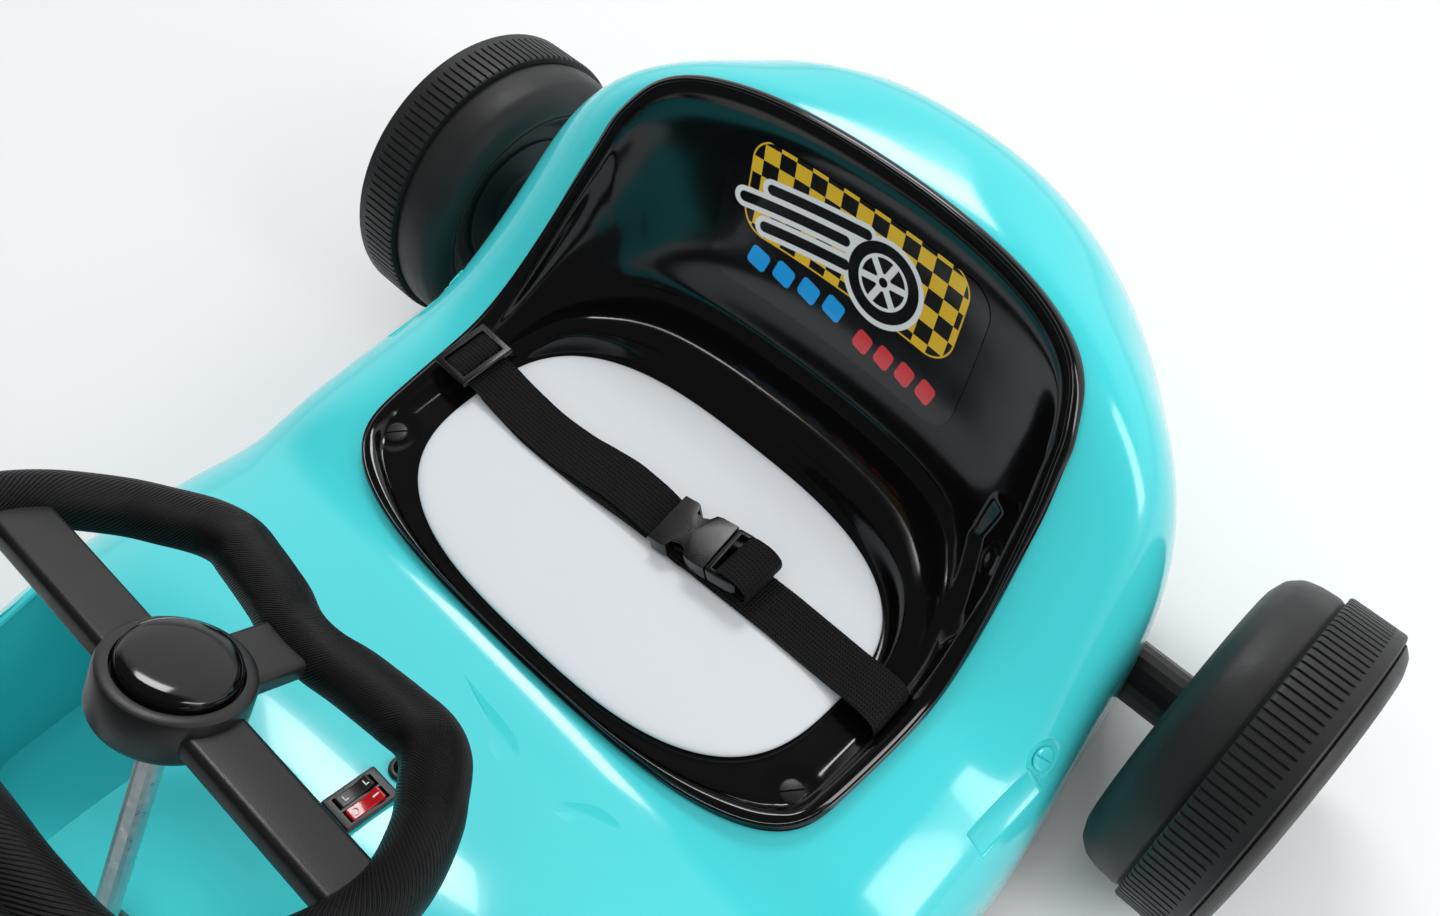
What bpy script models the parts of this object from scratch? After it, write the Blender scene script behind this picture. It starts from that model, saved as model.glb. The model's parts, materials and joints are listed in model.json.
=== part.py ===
"""Kids electric go-kart, modelled piece by piece at its real size.

Metres. +Z up, the ground at z = 0, -Y towards the nose, +X towards the driver's left.
"""
import math

import bmesh
import bpy
import numpy as np
from mathutils import Matrix, Vector

for old in list(bpy.data.objects):
    bpy.data.objects.remove(old, do_unlink=True)

# Clearances
FIT = 0.0004            # between pieces that touch
RUN = 0.0008            # between pieces that move on each other

# The nose runs forward from the waist
WAIST_Y = -0.200
NOSE_LENGTH = 0.285
NOSE_TIP = WAIST_Y - NOSE_LENGTH
NOSE_EDGE = WAIST_Y - NOSE_LENGTH * 0.947
NOSE_FRONT = WAIST_Y - NOSE_LENGTH * 0.842
NOSE_MIDDLE = WAIST_Y - NOSE_LENGTH * 0.632
NOSE_REAR = WAIST_Y - NOSE_LENGTH * 0.351

# Body shell: (y, half width, squareness of the section), nose to tail
SHELL_PLAN = (
    (NOSE_TIP, 0.078, 2.4), (NOSE_EDGE, 0.104, 2.5), (NOSE_FRONT, 0.122, 2.6), (NOSE_MIDDLE, 0.136, 2.8),
    (NOSE_REAR, 0.146, 3.0), (WAIST_Y, 0.152, 3.1), (-0.130, 0.170, 3.2), (-0.060, 0.208, 3.2),
    (0.010, 0.225, 3.3), (0.100, 0.230, 3.6), (0.180, 0.229, 4.1), (0.236, 0.2275, 4.2),
    (0.285, 0.221, 4.2), (0.320, 0.2155, 4.2), (0.355, 0.211, 4.1), (0.386, 0.200, 3.4),
    (0.420, 0.180, 2.6), (0.450, 0.157, 2.35), (0.470, 0.140, 2.35), (0.485, 0.122, 2.35),
)
# Crown height ahead of the seat and behind it; beside the seat it follows the seat's rim
COWL_CROWN = (
    (NOSE_TIP, 0.082), (NOSE_EDGE, 0.100), (NOSE_FRONT, 0.114), (NOSE_MIDDLE, 0.130),
    (NOSE_REAR, 0.150), (WAIST_Y, 0.172), (-0.120, 0.187), (-0.060, 0.190), (0.000, 0.183), (0.040, 0.1745),
    (0.100, 0.1500),
)
HUMP_CROWN = ((0.420, 0.281), (0.440, 0.273), (0.460, 0.247), (0.475, 0.216), (0.485, 0.180))
SHELL_BASE = 0.036
SHELL_WALL = 0.003
SHELL_ROWS = 46
SHELL_COLUMNS = 18
SHELL_DROP = 0.0032     # the shell's skin lies this far under the foot of the seat's lip

# Seat rim, front middle to top middle: (share of the way, y, z, half width)
RIM = (
    (0.00, 0.136, 0.139, 0.154), (0.25, 0.242, 0.144, 0.160), (0.50, 0.321, 0.210, 0.151),
    (0.75, 0.349, 0.246, 0.145), (1.00, 0.386, 0.284, 0.171),
)
RIM_FRONT_CORNER = (3.0, 0.12)      # squareness, and the share of the way that it takes
RIM_TOP_CORNER = (2.14, 0.32)
TUB_WALL = 0.002
RIM_STEPS = 26
LIP_HEIGHT = 0.0055
LIP_WIDTH = 0.010
SEAT_HOLE_INSET = 0.0010
RIDGE_HEIGHT = 0.0195
SCOOP_DEPTH = 0.006
LIP_FOOT_INSET = 0.0012
BACK_START = 0.235      # the pan starts to turn up into the backrest here, over the next length
BACK_SPAN = 0.075
BACK_FOOT_RISE = 0.010  # the backrest's foot above the pan, and its share of the way from rim to pad
BACK_FOOT_SHARE = 0.72
RIDGE_SHARE = 0.885

PAD_CENTRE_Y = 0.221
PAD_HALF_WIDTH = 0.126
PAD_HALF_LENGTH = 0.078
PAD_SQUARENESS = 2.85
PAD_TOP = 0.147
PAD_THICKNESS = 0.006
PAD_TILT = math.radians(2)
PAD_MARGIN = 0.004      # pan left showing round the pad

SEAT_SCREW = (0.139, 0.177)
FLANK_SCREW = (0.2733, 0.127)       # y and z
FLANK_SCREW_GAP = 0.0009
SCREW_HEAD_RADIUS = 0.006
SCREW_HEAD_HEIGHT = 0.0021
SCREW_SHANK_RADIUS = 0.002
SCREW_SHANK_LENGTH = 0.016

# Floor pan
PAN_BOTTOM = 0.030
PAN_FLOOR = 0.034
PAN_LIP_TOP = 0.046
PAN_LIP_WALL = 0.003
PAN_GAP = 0.0032
POST_RADIUS = 0.008
POST_GAP = 0.0035        # between a post's top and the tub's underside

# Lap belt
WEB_WIDTH = 0.025
WEB_THICKNESS = 0.0016
BELT_Y = 0.233
BELT_SLOT_X = 0.1485
BELT_RISE = 0.0022      # webbing above the pad's top, and below it at its anchor
BELT_DROP = 0.0135
ANCHOR_INSET = 0.020    # from the belt slot to the anchor's rivet
SLIDE_RISE = 0.0095
SLIDE_HALF = (0.013, 0.017, 0.0015)
SLIDE_INSET = 0.010     # from the belt slot to the adjuster's middle
BUCKLE_WIDTH = 0.032
BUCKLE_HEIGHT = 0.0100
BUCKLE_Z = 0.1560
SOCKET_START = 0.0065
SOCKET_LENGTH = 0.032
TONGUE_BASE_LENGTH = 0.014
BUCKLE_WALL = 0.0018
BUCKLE_EDGE = 0.0015

# Rear axle and wheels
REAR_AXLE_Y = 0.358
REAR_RADIUS = 0.092
REAR_WHEEL_INNER = 0.237
REAR_WHEEL_WIDTH = 0.070
REAR_BAND_START = 0.0305
REAR_BAND_WIDTH = 0.031
AXLE_RADIUS = 0.005
BAND_DEPTH = 0.0047
WHEEL_SIDES = 20
NUT_RADIUS = 0.0085
NUT_END = 0.0045         # the nut's outer face beyond the hub's face
HUB_FACE = 0.010        # the hub's face lies this far inside the wheel's outer edge

# Front axle, wheels and steering
FRONT_AXLE_Y = -0.265
FRONT_RADIUS = 0.080
FRONT_WHEEL_WIDTH = 0.054
FRONT_BAND_START = 0.0135
FRONT_BAND_WIDTH = 0.027
KINGPIN_RADIUS = 0.004
KNUCKLE_ARM = 0.050
KNUCKLE_BARREL_HEIGHT = 0.036
KNUCKLE_BARREL_RADIUS = 0.0095
FORK_EYE_THICKNESS = 0.007
FORK_EYE_RADIUS = 0.010
BEAM_DEPTH = 0.022
BEAM_HEIGHT = 0.020
BEAM_HALF = 0.155
FORK_REACH = 0.030      # from the beam's end to the kingpin
KINGPIN_X = BEAM_HALF + FORK_REACH
FRONT_WHEEL_GAP = 0.029     # from the kingpin to the wheel's inner face
FRONT_WHEEL_INNER = KINGPIN_X + FRONT_WHEEL_GAP
BEAM_POST_X = 0.085
AXLE_WINDOW = (0.030, 0.066)        # the shell's side windows, ahead of the axle and behind it
AXLE_WINDOW_RISE = 0.034

STEER_RAKE = math.radians(35)
COLUMN_RADIUS = 0.005
COLUMN_LENGTH = 0.260
COLUMN_FOOT = Vector((0.0, -0.13913, 0.09302))
STEER_HUB = COLUMN_FOOT + COLUMN_LENGTH * Vector((0, math.sin(STEER_RAKE), math.cos(STEER_RAKE)))
BUSH_RADIUS = 0.013
STEER_LIMIT = math.radians(30)
CRANK = 0.038
CRANK_PIN_RADIUS = 0.0035
KNUCKLE_LIMIT = math.atan(CRANK * math.sin(STEER_LIMIT) / KNUCKLE_ARM)
ARM_PIN_RADIUS = 0.003
ARM_THICKNESS = 0.007
LINK_THICKNESS = 0.004
LINK_EYE_RADIUS = 0.009
BRACKET_REACH = 0.030   # from the column's foot up to the middle of its bracket
HUB_WALL = 0.006        # of the wheel's boss round the horn button
WHEEL_RIM_RADIUS = 0.0115
WHEEL_SIZE = (0.108, 0.0735, 0.078)  # rim centre line: half width, reach below the hub, reach above
HORN_RADIUS = 0.021
HORN_TRAVEL = 0.002

# Console panel
BEZEL_CENTRE = (0.0192, 0.039)
BEZEL_SIZE = (0.0185, 0.027)
BEZEL_PLATE = 0.0022
BEZEL_DEPTH = 0.014
ROCKER_SIZE = (0.0063, 0.0180)
ROCKER_TILT = math.radians(8)
CHARGE_SOCKET = (0.0185, 0.0608)
CHARGE_RADIUS = 0.0068
BEZEL_OVERLAP = 0.0015  # how far the bezel's and the socket's flanges cover their holes
CHARGE_OVERLAP = 0.0015
ROCKER_GAP = 0.0006     # half the bar between the rockers

# Foot wells: outline of the driver's left one, seen from above
WELL_OUTLINE = ((0.052, 0.020), (0.186, 0.020), (0.186, -0.070), (0.136, -0.140),
                (0.136, -0.190), (0.052, -0.190))
WELL_FLOOR = 0.048
WELL_CORNER = 0.018

# Pedal
PEDAL_PIVOT = Vector((-0.094, -0.118, 0.060))
PEDAL_SIZE = (0.052, 0.070, 0.005)
PEDAL_ANGLE = math.radians(38)
PEDAL_PIN_RADIUS = 0.003
PEDAL_TUBE_RADIUS = 0.0065
PEDAL_EAR = 0.004

# Drive
GEARBOX_INNER = 0.124
GEARBOX_WIDTH = 0.032
GEARBOX_RADIUS = 0.038
GEARBOX_TOP_RADIUS = 0.024
GEARBOX_FOOT_HALF = 0.020
MOTOR_OFFSET = Vector((0, 0.046, 0.040))
MOTOR_RADIUS = 0.018
MOTOR_LENGTH = 0.057
DRIVE_HUB_RADIUS = 0.016
BATTERY_SIZE = (0.151, 0.065, 0.090)
BATTERY_Y = 0.222
STRAP_WIDTH = 0.020
STRAP_THICKNESS = 0.0016
STRAP_FLANGE = 0.018
CONTROL_BOX_SIZE = (0.055, 0.080, 0.030)
CONTROL_BOX_CENTRE = (0.122, 0.262)


# Curves

def curve_through(knots, values):
    """A smooth curve through the values that doesn't overshoot them."""
    knots, values = np.array(knots, float), np.array(values, float)
    step = np.diff(knots)
    slope = np.diff(values) / step
    tangent = np.concatenate([[slope[0]], np.zeros(len(slope) - 1), [slope[-1]]])
    for i in range(1, len(slope)):
        if slope[i - 1] * slope[i] > 0:
            tangent[i] = 2 / (1 / slope[i - 1] + 1 / slope[i])

    def at(t):
        t = np.clip(t, knots[0], knots[-1])
        i = np.clip(np.searchsorted(knots, t) - 1, 0, len(step) - 1)
        h, u = step[i], (t - knots[i]) / step[i]
        return ((1 + 2 * u) * (1 - u) ** 2 * values[i] + u * (1 - u) ** 2 * h * tangent[i]
                + u * u * (3 - 2 * u) * values[i + 1] + u * u * (u - 1) * h * tangent[i + 1])
    return at


def ease(t):
    t = np.clip(t, 0, 1)
    return t * t * (3 - 2 * t)


def rounded(outline, radius, steps=4):
    """The outline with each corner replaced by an arc of the given radius."""
    points = []
    for i, corner in enumerate(outline):
        corner = Vector(corner)
        back = (Vector(outline[i - 1]) - corner).normalized()
        ahead = (Vector(outline[(i + 1) % len(outline)]) - corner).normalized()
        half = back.angle(ahead) / 2
        middle = corner + (back + ahead).normalized() * radius / math.sin(half)
        first = corner + back * radius / math.tan(half) - middle
        last = corner + ahead * radius / math.tan(half) - middle
        for k in range(steps + 1):
            points.append(middle + first.lerp(last, k / steps).normalized() * radius)
    return points


# Finishes

def finish(name, colour, roughness, metallic=0.0):
    made = bpy.data.materials.new(name)
    made.use_nodes = True
    shader = made.node_tree.nodes["Principled BSDF"]
    shader.inputs["Base Color"].default_value = (*colour, 1)
    shader.inputs["Roughness"].default_value = roughness
    shader.inputs["Metallic"].default_value = metallic
    return made


TURQUOISE = finish("turquoise_plastic", (0.06, 0.72, 0.74), 0.12)
GLOSS_BLACK = finish("gloss_black_plastic", (0.010, 0.010, 0.011), 0.10)
SATIN_BLACK = finish("satin_black_plastic", (0.018, 0.018, 0.020), 0.45)
PALE_GREY = finish("pale_grey_pad", (0.72, 0.75, 0.78), 0.55)
WEBBING = finish("black_webbing", (0.012, 0.012, 0.013), 0.85)
RED = finish("red_plastic", (0.55, 0.01, 0.02), 0.25)
STEEL = finish("zinc_steel", (0.55, 0.56, 0.58), 0.35, 1.0)
DARK_GREY = finish("dark_grey_case", (0.07, 0.07, 0.08), 0.5)


# Solids

def piece(name, bm, surface, crease=35):
    """A named object from a bmesh, shaded smooth but for its creases."""
    bmesh.ops.recalc_face_normals(bm, faces=bm.faces)
    mesh = bpy.data.meshes.new(name)
    bm.to_mesh(mesh)
    bm.free()
    mesh.materials.append(surface)
    mesh.shade_smooth()
    mesh.set_sharp_from_angle(angle=math.radians(crease))
    made = bpy.data.objects.new(name, mesh)
    bpy.context.collection.objects.link(made)
    return made


def combine(target, operation, bm, name="cutter"):
    """Add a bmesh to an object, or cut it out, with a Boolean on a hidden guide."""
    tool = piece(f"{target.name}_{name}", bm, target.data.materials[0])
    tool.hide_render = True
    tool.display_type = "WIRE"
    step = target.modifiers.new(name, "BOOLEAN")
    step.operation = operation
    step.object = tool
    return target


def cut(target, bm):
    return combine(target, "DIFFERENCE", bm)


def join(target, bm):
    return combine(target, "UNION", bm)


def box(low, high, edge=0.0):
    bm = bmesh.new()
    bmesh.ops.create_cube(bm, size=1)
    low, high = Vector(low), Vector(high)
    size = high - low
    bmesh.ops.scale(bm, vec=size, verts=bm.verts)
    bmesh.ops.translate(bm, vec=(low + high) / 2, verts=bm.verts)
    if edge:
        bmesh.ops.bevel(bm, geom=bm.edges[:], offset=edge, segments=1, affect="EDGES")
    return bm


def rod(radius, start, end, sides=16):
    start, end = Vector(start), Vector(end)
    bm = bmesh.new()
    bmesh.ops.create_cone(bm, cap_ends=True, segments=sides, radius1=radius, radius2=radius,
                          depth=(end - start).length)
    turn = Vector((0, 0, 1)).rotation_difference(end - start).to_matrix().to_4x4()
    bmesh.ops.transform(bm, matrix=Matrix.Translation((start + end) / 2) @ turn, verts=bm.verts)
    return bm


def turned(profile, origin, axis, sides=24):
    """A lathe shape: the profile is (distance along the axis, radius), a closed loop or,
    when it starts and ends on the axis, a half outline."""
    solid = profile[0][1] == 0 and profile[-1][1] == 0
    bm = bmesh.new()
    rings = []
    for along, radius in profile:
        if radius == 0:
            rings.append([bm.verts.new((0, 0, along))] * sides)
            continue
        rings.append([bm.verts.new((radius * math.cos(a), radius * math.sin(a), along))
                      for a in (2 * math.pi * k / sides for k in range(sides))])
    pairs = list(zip(rings, rings[1:])) + ([] if solid else [(rings[-1], rings[0])])
    for lower, upper in pairs:
        for k in range(sides):
            m = (k + 1) % sides
            corners = dict.fromkeys((lower[k], lower[m], upper[m], upper[k]))
            bm.faces.new(list(corners))
    turn = Vector((0, 0, 1)).rotation_difference(Vector(axis)).to_matrix().to_4x4()
    bmesh.ops.transform(bm, matrix=Matrix.Translation(Vector(origin)) @ turn, verts=bm.verts)
    return bm


def prism(outline, bottom, top, place=None):
    """The outline (x, y) between two heights, moved by the matrix if one is given."""
    bm = bmesh.new()
    base = bm.faces.new([bm.verts.new((p[0], p[1], bottom)) for p in outline])
    grown = bmesh.ops.extrude_face_region(bm, geom=[base])
    raised = [g for g in grown["geom"] if isinstance(g, bmesh.types.BMVert)]
    bmesh.ops.translate(bm, vec=(0, 0, top - bottom), verts=raised)
    if place is not None:
        bmesh.ops.transform(bm, matrix=place, verts=bm.verts)
    return bm


def loft(loops, open_ends=False):
    """Skin a list of closed loops of points, with a face over each end."""
    bm = bmesh.new()
    rows = [[bm.verts.new(p) for p in loop] for loop in loops]
    count = len(rows[0])
    for lower, upper in zip(rows, rows[1:]):
        for k in range(count):
            m = (k + 1) % count
            bm.faces.new((lower[k], lower[m], upper[m], upper[k]))
    if not open_ends:
        bm.faces.new(rows[0])
        bm.faces.new(rows[-1])
    return bm


def strap(path, width, thickness, y):
    """A flat strap along (x, z) points, its width along Y about the line y."""
    loops = []
    for i, (x, z) in enumerate(path):
        before = Vector(path[max(i - 1, 0)])
        after = Vector(path[min(i + 1, len(path) - 1)])
        along = (after - before).normalized()
        side = Vector((-along.y, along.x)) * thickness / 2
        loops.append([(x + side.x, y - width / 2, z + side.y), (x + side.x, y + width / 2, z + side.y),
                      (x - side.x, y + width / 2, z - side.y), (x - side.x, y - width / 2, z - side.y)])
    return loft(loops)


# Seat rim and shell surface, which the shell, the tub and the pan share

rim_y = curve_through([r[0] for r in RIM], [r[1] for r in RIM])
rim_z = curve_through([r[0] for r in RIM], [r[2] for r in RIM])
rim_width = curve_through([r[0] for r in RIM], [r[3] for r in RIM])


def rim_point(share):
    """A point of the seat's rim on the driver's left, from front middle (0) to top middle (1)."""
    front, front_share = RIM_FRONT_CORNER
    top, top_share = RIM_TOP_CORNER
    u = np.clip(share / front_share, 0, 1)
    v = np.clip((1 - share) / top_share, 0, 1)
    corner = (1 - (1 - u) ** front) ** (1 / front) * (1 - (1 - v) ** top) ** (1 / top)
    return Vector((float(rim_width(share) * corner), float(rim_y(share)), float(rim_z(share))))


def rim_shares():
    """Shares of the way that crowd towards both middles, where the rim turns."""
    return [0.5 * (1 - math.cos(math.pi * k / RIM_STEPS)) for k in range(RIM_STEPS + 1)]


def rim_loop():
    """The whole rim, with an inward direction at each point, anticlockwise from the front."""
    half = [rim_point(s) for s in rim_shares()]
    points = half + [Vector((-p.x, p.y, p.z)) for p in reversed(half[1:-1])]
    inward = []
    for i, p in enumerate(points):
        along = points[(i + 1) % len(points)] - points[i - 1]
        inward.append(Vector((-along.y, along.x, 0)).normalized())
    return points, inward


half_width = curve_through([s[0] for s in SHELL_PLAN], [s[1] for s in SHELL_PLAN])
squareness = curve_through([s[0] for s in SHELL_PLAN], [s[2] for s in SHELL_PLAN])


def crown_beside_seat(point):
    """Crown height that puts the shell's skin just under this point of the rim."""
    power = squareness(point.y)
    share = (1 - (point.x / half_width(point.y)) ** power) ** (1 / power)
    return SHELL_BASE + (point.z - SHELL_DROP - SHELL_BASE) / share


def shell_crown():
    shares = (0.0, 0.04, 0.08, 0.13, 0.18, 0.25, 0.33, 0.41, 0.50, 0.60, 0.70, 0.76, 0.82, 0.86,
              0.90, 0.94, 0.97, 1.0)
    beside = [rim_point(s) for s in shares]
    knots = list(COWL_CROWN) + [(p.y, crown_beside_seat(p)) for p in beside] + list(HUMP_CROWN)
    return curve_through([k[0] for k in knots], [k[1] for k in knots])


crown = shell_crown()


def shell_height(x, y):
    """Height of the shell's skin above the ground."""
    power = squareness(y)
    share = max(1 - (abs(x) / half_width(y)) ** power, 0) ** (1 / power)
    return float(SHELL_BASE + (crown(y) - SHELL_BASE) * share)


def shell_stations():
    """Places along Y, closer where the crown climbs behind the seat."""
    ys = np.linspace(SHELL_PLAN[0][0], SHELL_PLAN[-1][0], 800)
    run = np.hypot(np.diff(ys), np.diff([float(crown(y)) for y in ys]))
    weight = np.where((ys[1:] > 0.12) & (ys[1:] < 0.40), 1.8, 0.85)
    length = np.concatenate([[0], np.cumsum(run * weight)])
    return np.interp(np.linspace(0, length[-1], SHELL_ROWS), length, ys)


def shell_section(y, wall, below):
    """Half ring over the kart at y, drawn in by the wall, closed below the base."""
    wide = half_width(y)
    power = squareness(y)
    tall = crown(y) - SHELL_BASE
    ring = [((wide - wall), y, SHELL_BASE - below)]
    for k in range(SHELL_COLUMNS + 1):
        a = math.pi * k / SHELL_COLUMNS
        x = math.copysign(abs(math.cos(a)) ** (2 / power), math.cos(a))
        ring.append(((wide - wall) * x, y, SHELL_BASE + (tall - wall) * math.sin(a) ** (2 / power)))
    ring.append((-(wide - wall), y, SHELL_BASE - below))
    return ring


def inner_stations(wall):
    """The stations with the two ends drawn in by the wall."""
    nose, *between, tail = shell_stations()
    low, high = nose + wall, tail - wall
    return [low] + [y for y in between if low + 0.001 < y < high - 0.001] + [high]


def shell_body(wall, below):
    return loft([shell_section(y, wall, below) for y in inner_stations(wall)])


def mirrored(outline):
    return [(-p[0], p[1]) for p in reversed(outline)]


# Body shell: one moulding with the seat opening, two foot wells and the holes it needs

def body_shell():
    shell = piece("body_shell", shell_body(0, 0.002), TURQUOISE)
    inner = piece("body_shell_inside", shell_body(SHELL_WALL, 0.012), TURQUOISE)
    inner.hide_render = True
    inner.display_type = "WIRE"
    well = rounded(WELL_OUTLINE, WELL_CORNER)
    for outline in (well, mirrored(well)):
        cut(shell, prism(outline, WELL_FLOOR, 0.5))
    grown = rounded([(x + math.copysign(SHELL_WALL, x - 0.1), y + math.copysign(SHELL_WALL, y + 0.085))
                     for x, y in WELL_OUTLINE], WELL_CORNER + SHELL_WALL)
    for outline in (grown, mirrored(grown)):
        cut(inner, prism(outline, WELL_FLOOR - SHELL_WALL, 0.5))
    hollow = shell.modifiers.new("hollow", "BOOLEAN")
    hollow.operation = "DIFFERENCE"
    hollow.object = inner
    points, inward = rim_loop()
    cut(shell, prism([p + d * SEAT_HOLE_INSET for p, d in zip(points, inward)], 0.0, 0.5))
    axis = steer_axis()
    surface = STEER_HUB - axis * column_exit()
    cut(shell, rod(BUSH_RADIUS + FIT, surface - axis * 0.03, surface + axis * 0.03))
    place = panel_place(*BEZEL_CENTRE)
    wide, long = (size / 2 - BEZEL_OVERLAP + FIT for size in BEZEL_SIZE)
    opening = box((-wide, -long, -0.02), (wide, long, 0.02))
    bmesh.ops.transform(opening, matrix=place, verts=opening.verts)
    cut(shell, opening)
    place = panel_place(*CHARGE_SOCKET)
    bore = CHARGE_RADIUS - CHARGE_OVERLAP + FIT
    cut(shell, rod(bore, place @ Vector((0, 0, -0.02)), place @ Vector((0, 0, 0.02))))
    for side in (-1, 1):
        low, high = sorted((side * 0.10, side * 0.30))
        cut(shell, rod(DRIVE_HUB_RADIUS + 0.003, (low, REAR_AXLE_Y, REAR_RADIUS),
                       (high, REAR_AXLE_Y, REAR_RADIUS)))
        front, rear = AXLE_WINDOW
        cut(shell, box((low, FRONT_AXLE_Y - front, 0),
                       (high, FRONT_AXLE_Y + rear, FRONT_RADIUS + AXLE_WINDOW_RISE), 0.012))
        seat, out = flank_place(side)
        cut(shell, rod(SCREW_SHANK_RADIUS + FIT, seat - out * 0.02, seat + out * 0.02, 12))


# Steering geometry, used by the shell's hole and every steering piece

def shell_flank(y, z):
    """Half width of the shell's skin at a height above its base."""
    power = squareness(y)
    share = (z - SHELL_BASE) / (crown(y) - SHELL_BASE)
    return float(half_width(y) * (1 - share ** power) ** (1 / power))


def flank_place(side):
    """Where a flank screw meets the shell's skin, and the way it points."""
    y, z = FLANK_SCREW
    span = 0.005
    along = (shell_flank(y + span, z) - shell_flank(y - span, z)) / (2 * span)
    rise = (shell_flank(y, z + span) - shell_flank(y, z - span)) / (2 * span)
    return Vector((side * shell_flank(y, z), y, z)), Vector((side, -along, -rise)).normalized()


def steer_axis():
    """Along the column, up towards the driver."""
    return Vector((0, math.sin(STEER_RAKE), math.cos(STEER_RAKE)))


def crank_direction():
    return Vector((0, math.cos(STEER_RAKE), -math.sin(STEER_RAKE)))


def column_exit():
    """Distance from the hub down the column to the shell's skin."""
    axis = steer_axis()
    far = 0.0
    while (STEER_HUB - axis * far).z > shell_height(0, (STEER_HUB - axis * far).y):
        far += 0.0005
    return far


def panel_place(x, y):
    """A frame on the console's skin at (x, y): its Z is the skin's normal."""
    span = 0.006
    slope_x = (shell_height(x + span, y) - shell_height(x - span, y)) / (2 * span)
    slope_y = (shell_height(x, y + span) - shell_height(x, y - span)) / (2 * span)
    normal = Vector((-slope_x, -slope_y, 1)).normalized()
    across = Vector((1, 0, slope_x)).normalized()
    ahead = normal.cross(across)
    turn = Matrix((across, ahead, normal)).transposed().to_4x4()
    return Matrix.Translation((x, y, shell_height(x, y))) @ turn


# Seat tub, pad and screws

def pad_surface(y, depth=0.0):
    return PAD_TOP - math.tan(PAD_TILT) * (y - PAD_CENTRE_Y) - depth


def pad_edge(toward, grow=0.0):
    """The point of the pad's superellipse, grown by a margin, that lies towards the given point."""
    a, b = PAD_HALF_WIDTH + grow, PAD_HALF_LENGTH + grow
    x, y = toward[0], toward[1] - PAD_CENTRE_Y
    reach = (abs(x / a) ** PAD_SQUARENESS + abs(y / b) ** PAD_SQUARENESS) ** (1 / PAD_SQUARENESS)
    return Vector((x / reach, PAD_CENTRE_Y + y / reach, 0))


def tub_rings():
    """Loops of the tub's upper skin, from the foot of its lip to the middle of the pan."""
    points, inward = rim_loop()
    rings = [[] for _ in range(9)]
    for p, d in zip(points, inward):
        q = pad_edge(p, PAD_MARGIN)
        rear = ease((p.y - BACK_START) / BACK_SPAN)
        floor = pad_surface(q.y, PAD_THICKNESS + FIT)
        flat = (q - p).to_2d().length
        lip = min(LIP_WIDTH, 0.45 * flat)
        base_z = floor + BACK_FOOT_RISE * rear
        rings[0].append(p.copy())
        rings[1].append(p + d * LIP_FOOT_INSET + Vector((0, 0, LIP_HEIGHT * 0.75)))
        rings[2].append(p + d * lip * 0.42 + Vector((0, 0, LIP_HEIGHT)))
        inner = p + d * lip + Vector((0, 0, LIP_HEIGHT * 0.35))
        rings[3].append(inner)
        foot = p.lerp(q, BACK_FOOT_SHARE)
        foot.z = base_z
        for ring, share in ((4, 0.40), (5, 0.78)):
            middle = inner.lerp(foot, share)
            middle -= Vector((d.x, d.y, 0)) * SCOOP_DEPTH * rear * math.sin(math.pi * share)
            rings[ring].append(middle)
        rings[6].append(foot)
        crest = p.lerp(q, RIDGE_SHARE)
        crest.z = floor + RIDGE_HEIGHT * rear
        rings[7].append(crest)
        rings[8].append(Vector((q.x, q.y, floor)))
    return rings


def seat_tub():
    rings = tub_rings()
    bm = loft(rings, open_ends=True)
    bm.verts.ensure_lookup_table()
    count = len(rings[0])
    last = bm.verts[-count:]
    bm.faces.new(last)
    bmesh.ops.recalc_face_normals(bm, faces=bm.faces)
    if max(bm.faces, key=lambda f: f.calc_area()).normal.z < 0:
        bmesh.ops.reverse_faces(bm, faces=bm.faces)
    under = [Vector((v.co.x, v.co.y, v.co.z)) - v.normal * TUB_WALL for v in bm.verts]
    top_rows = [[v.co.copy() for v in bm.verts[r * count:(r + 1) * count]] for r in range(len(rings))]
    low_rows = [under[r * count:(r + 1) * count] for r in range(len(rings))]
    bm.free()
    rows = list(reversed(low_rows)) + top_rows
    tub = piece("seat_tub", loft(rows), GLOSS_BLACK, 50)
    for side in (-1, 1):
        x, y = side * SEAT_SCREW[0], SEAT_SCREW[1]
        cut(tub, rod(SCREW_SHANK_RADIUS + FIT, (x, y, 0.12), (x, y, 0.16), 12))
        slot = side * BELT_SLOT_X
        cut(tub, box((slot - 0.0018, BELT_Y - WEB_WIDTH / 2 - 0.001, 0.12),
                     (slot + 0.0018, BELT_Y + WEB_WIDTH / 2 + 0.001, 0.17)))


def seat_pad():
    count = 44
    rows = []
    for grow, depth in ((-0.003, PAD_THICKNESS), (0.0, PAD_THICKNESS - 0.0015), (0.0, 0.003),
                        (-0.004, 0.0008), (-0.016, 0.0)):
        row = []
        for k in range(count):
            turn = 2 * math.pi * k / count
            toward = (PAD_HALF_WIDTH * math.cos(turn), PAD_CENTRE_Y + PAD_HALF_LENGTH * math.sin(turn))
            p = pad_edge(toward, grow)
            row.append((p.x, p.y, pad_surface(p.y, depth)))
        rows.append(row)
    piece("seat_pad", loft(rows), PALE_GREY, 60)


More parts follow.
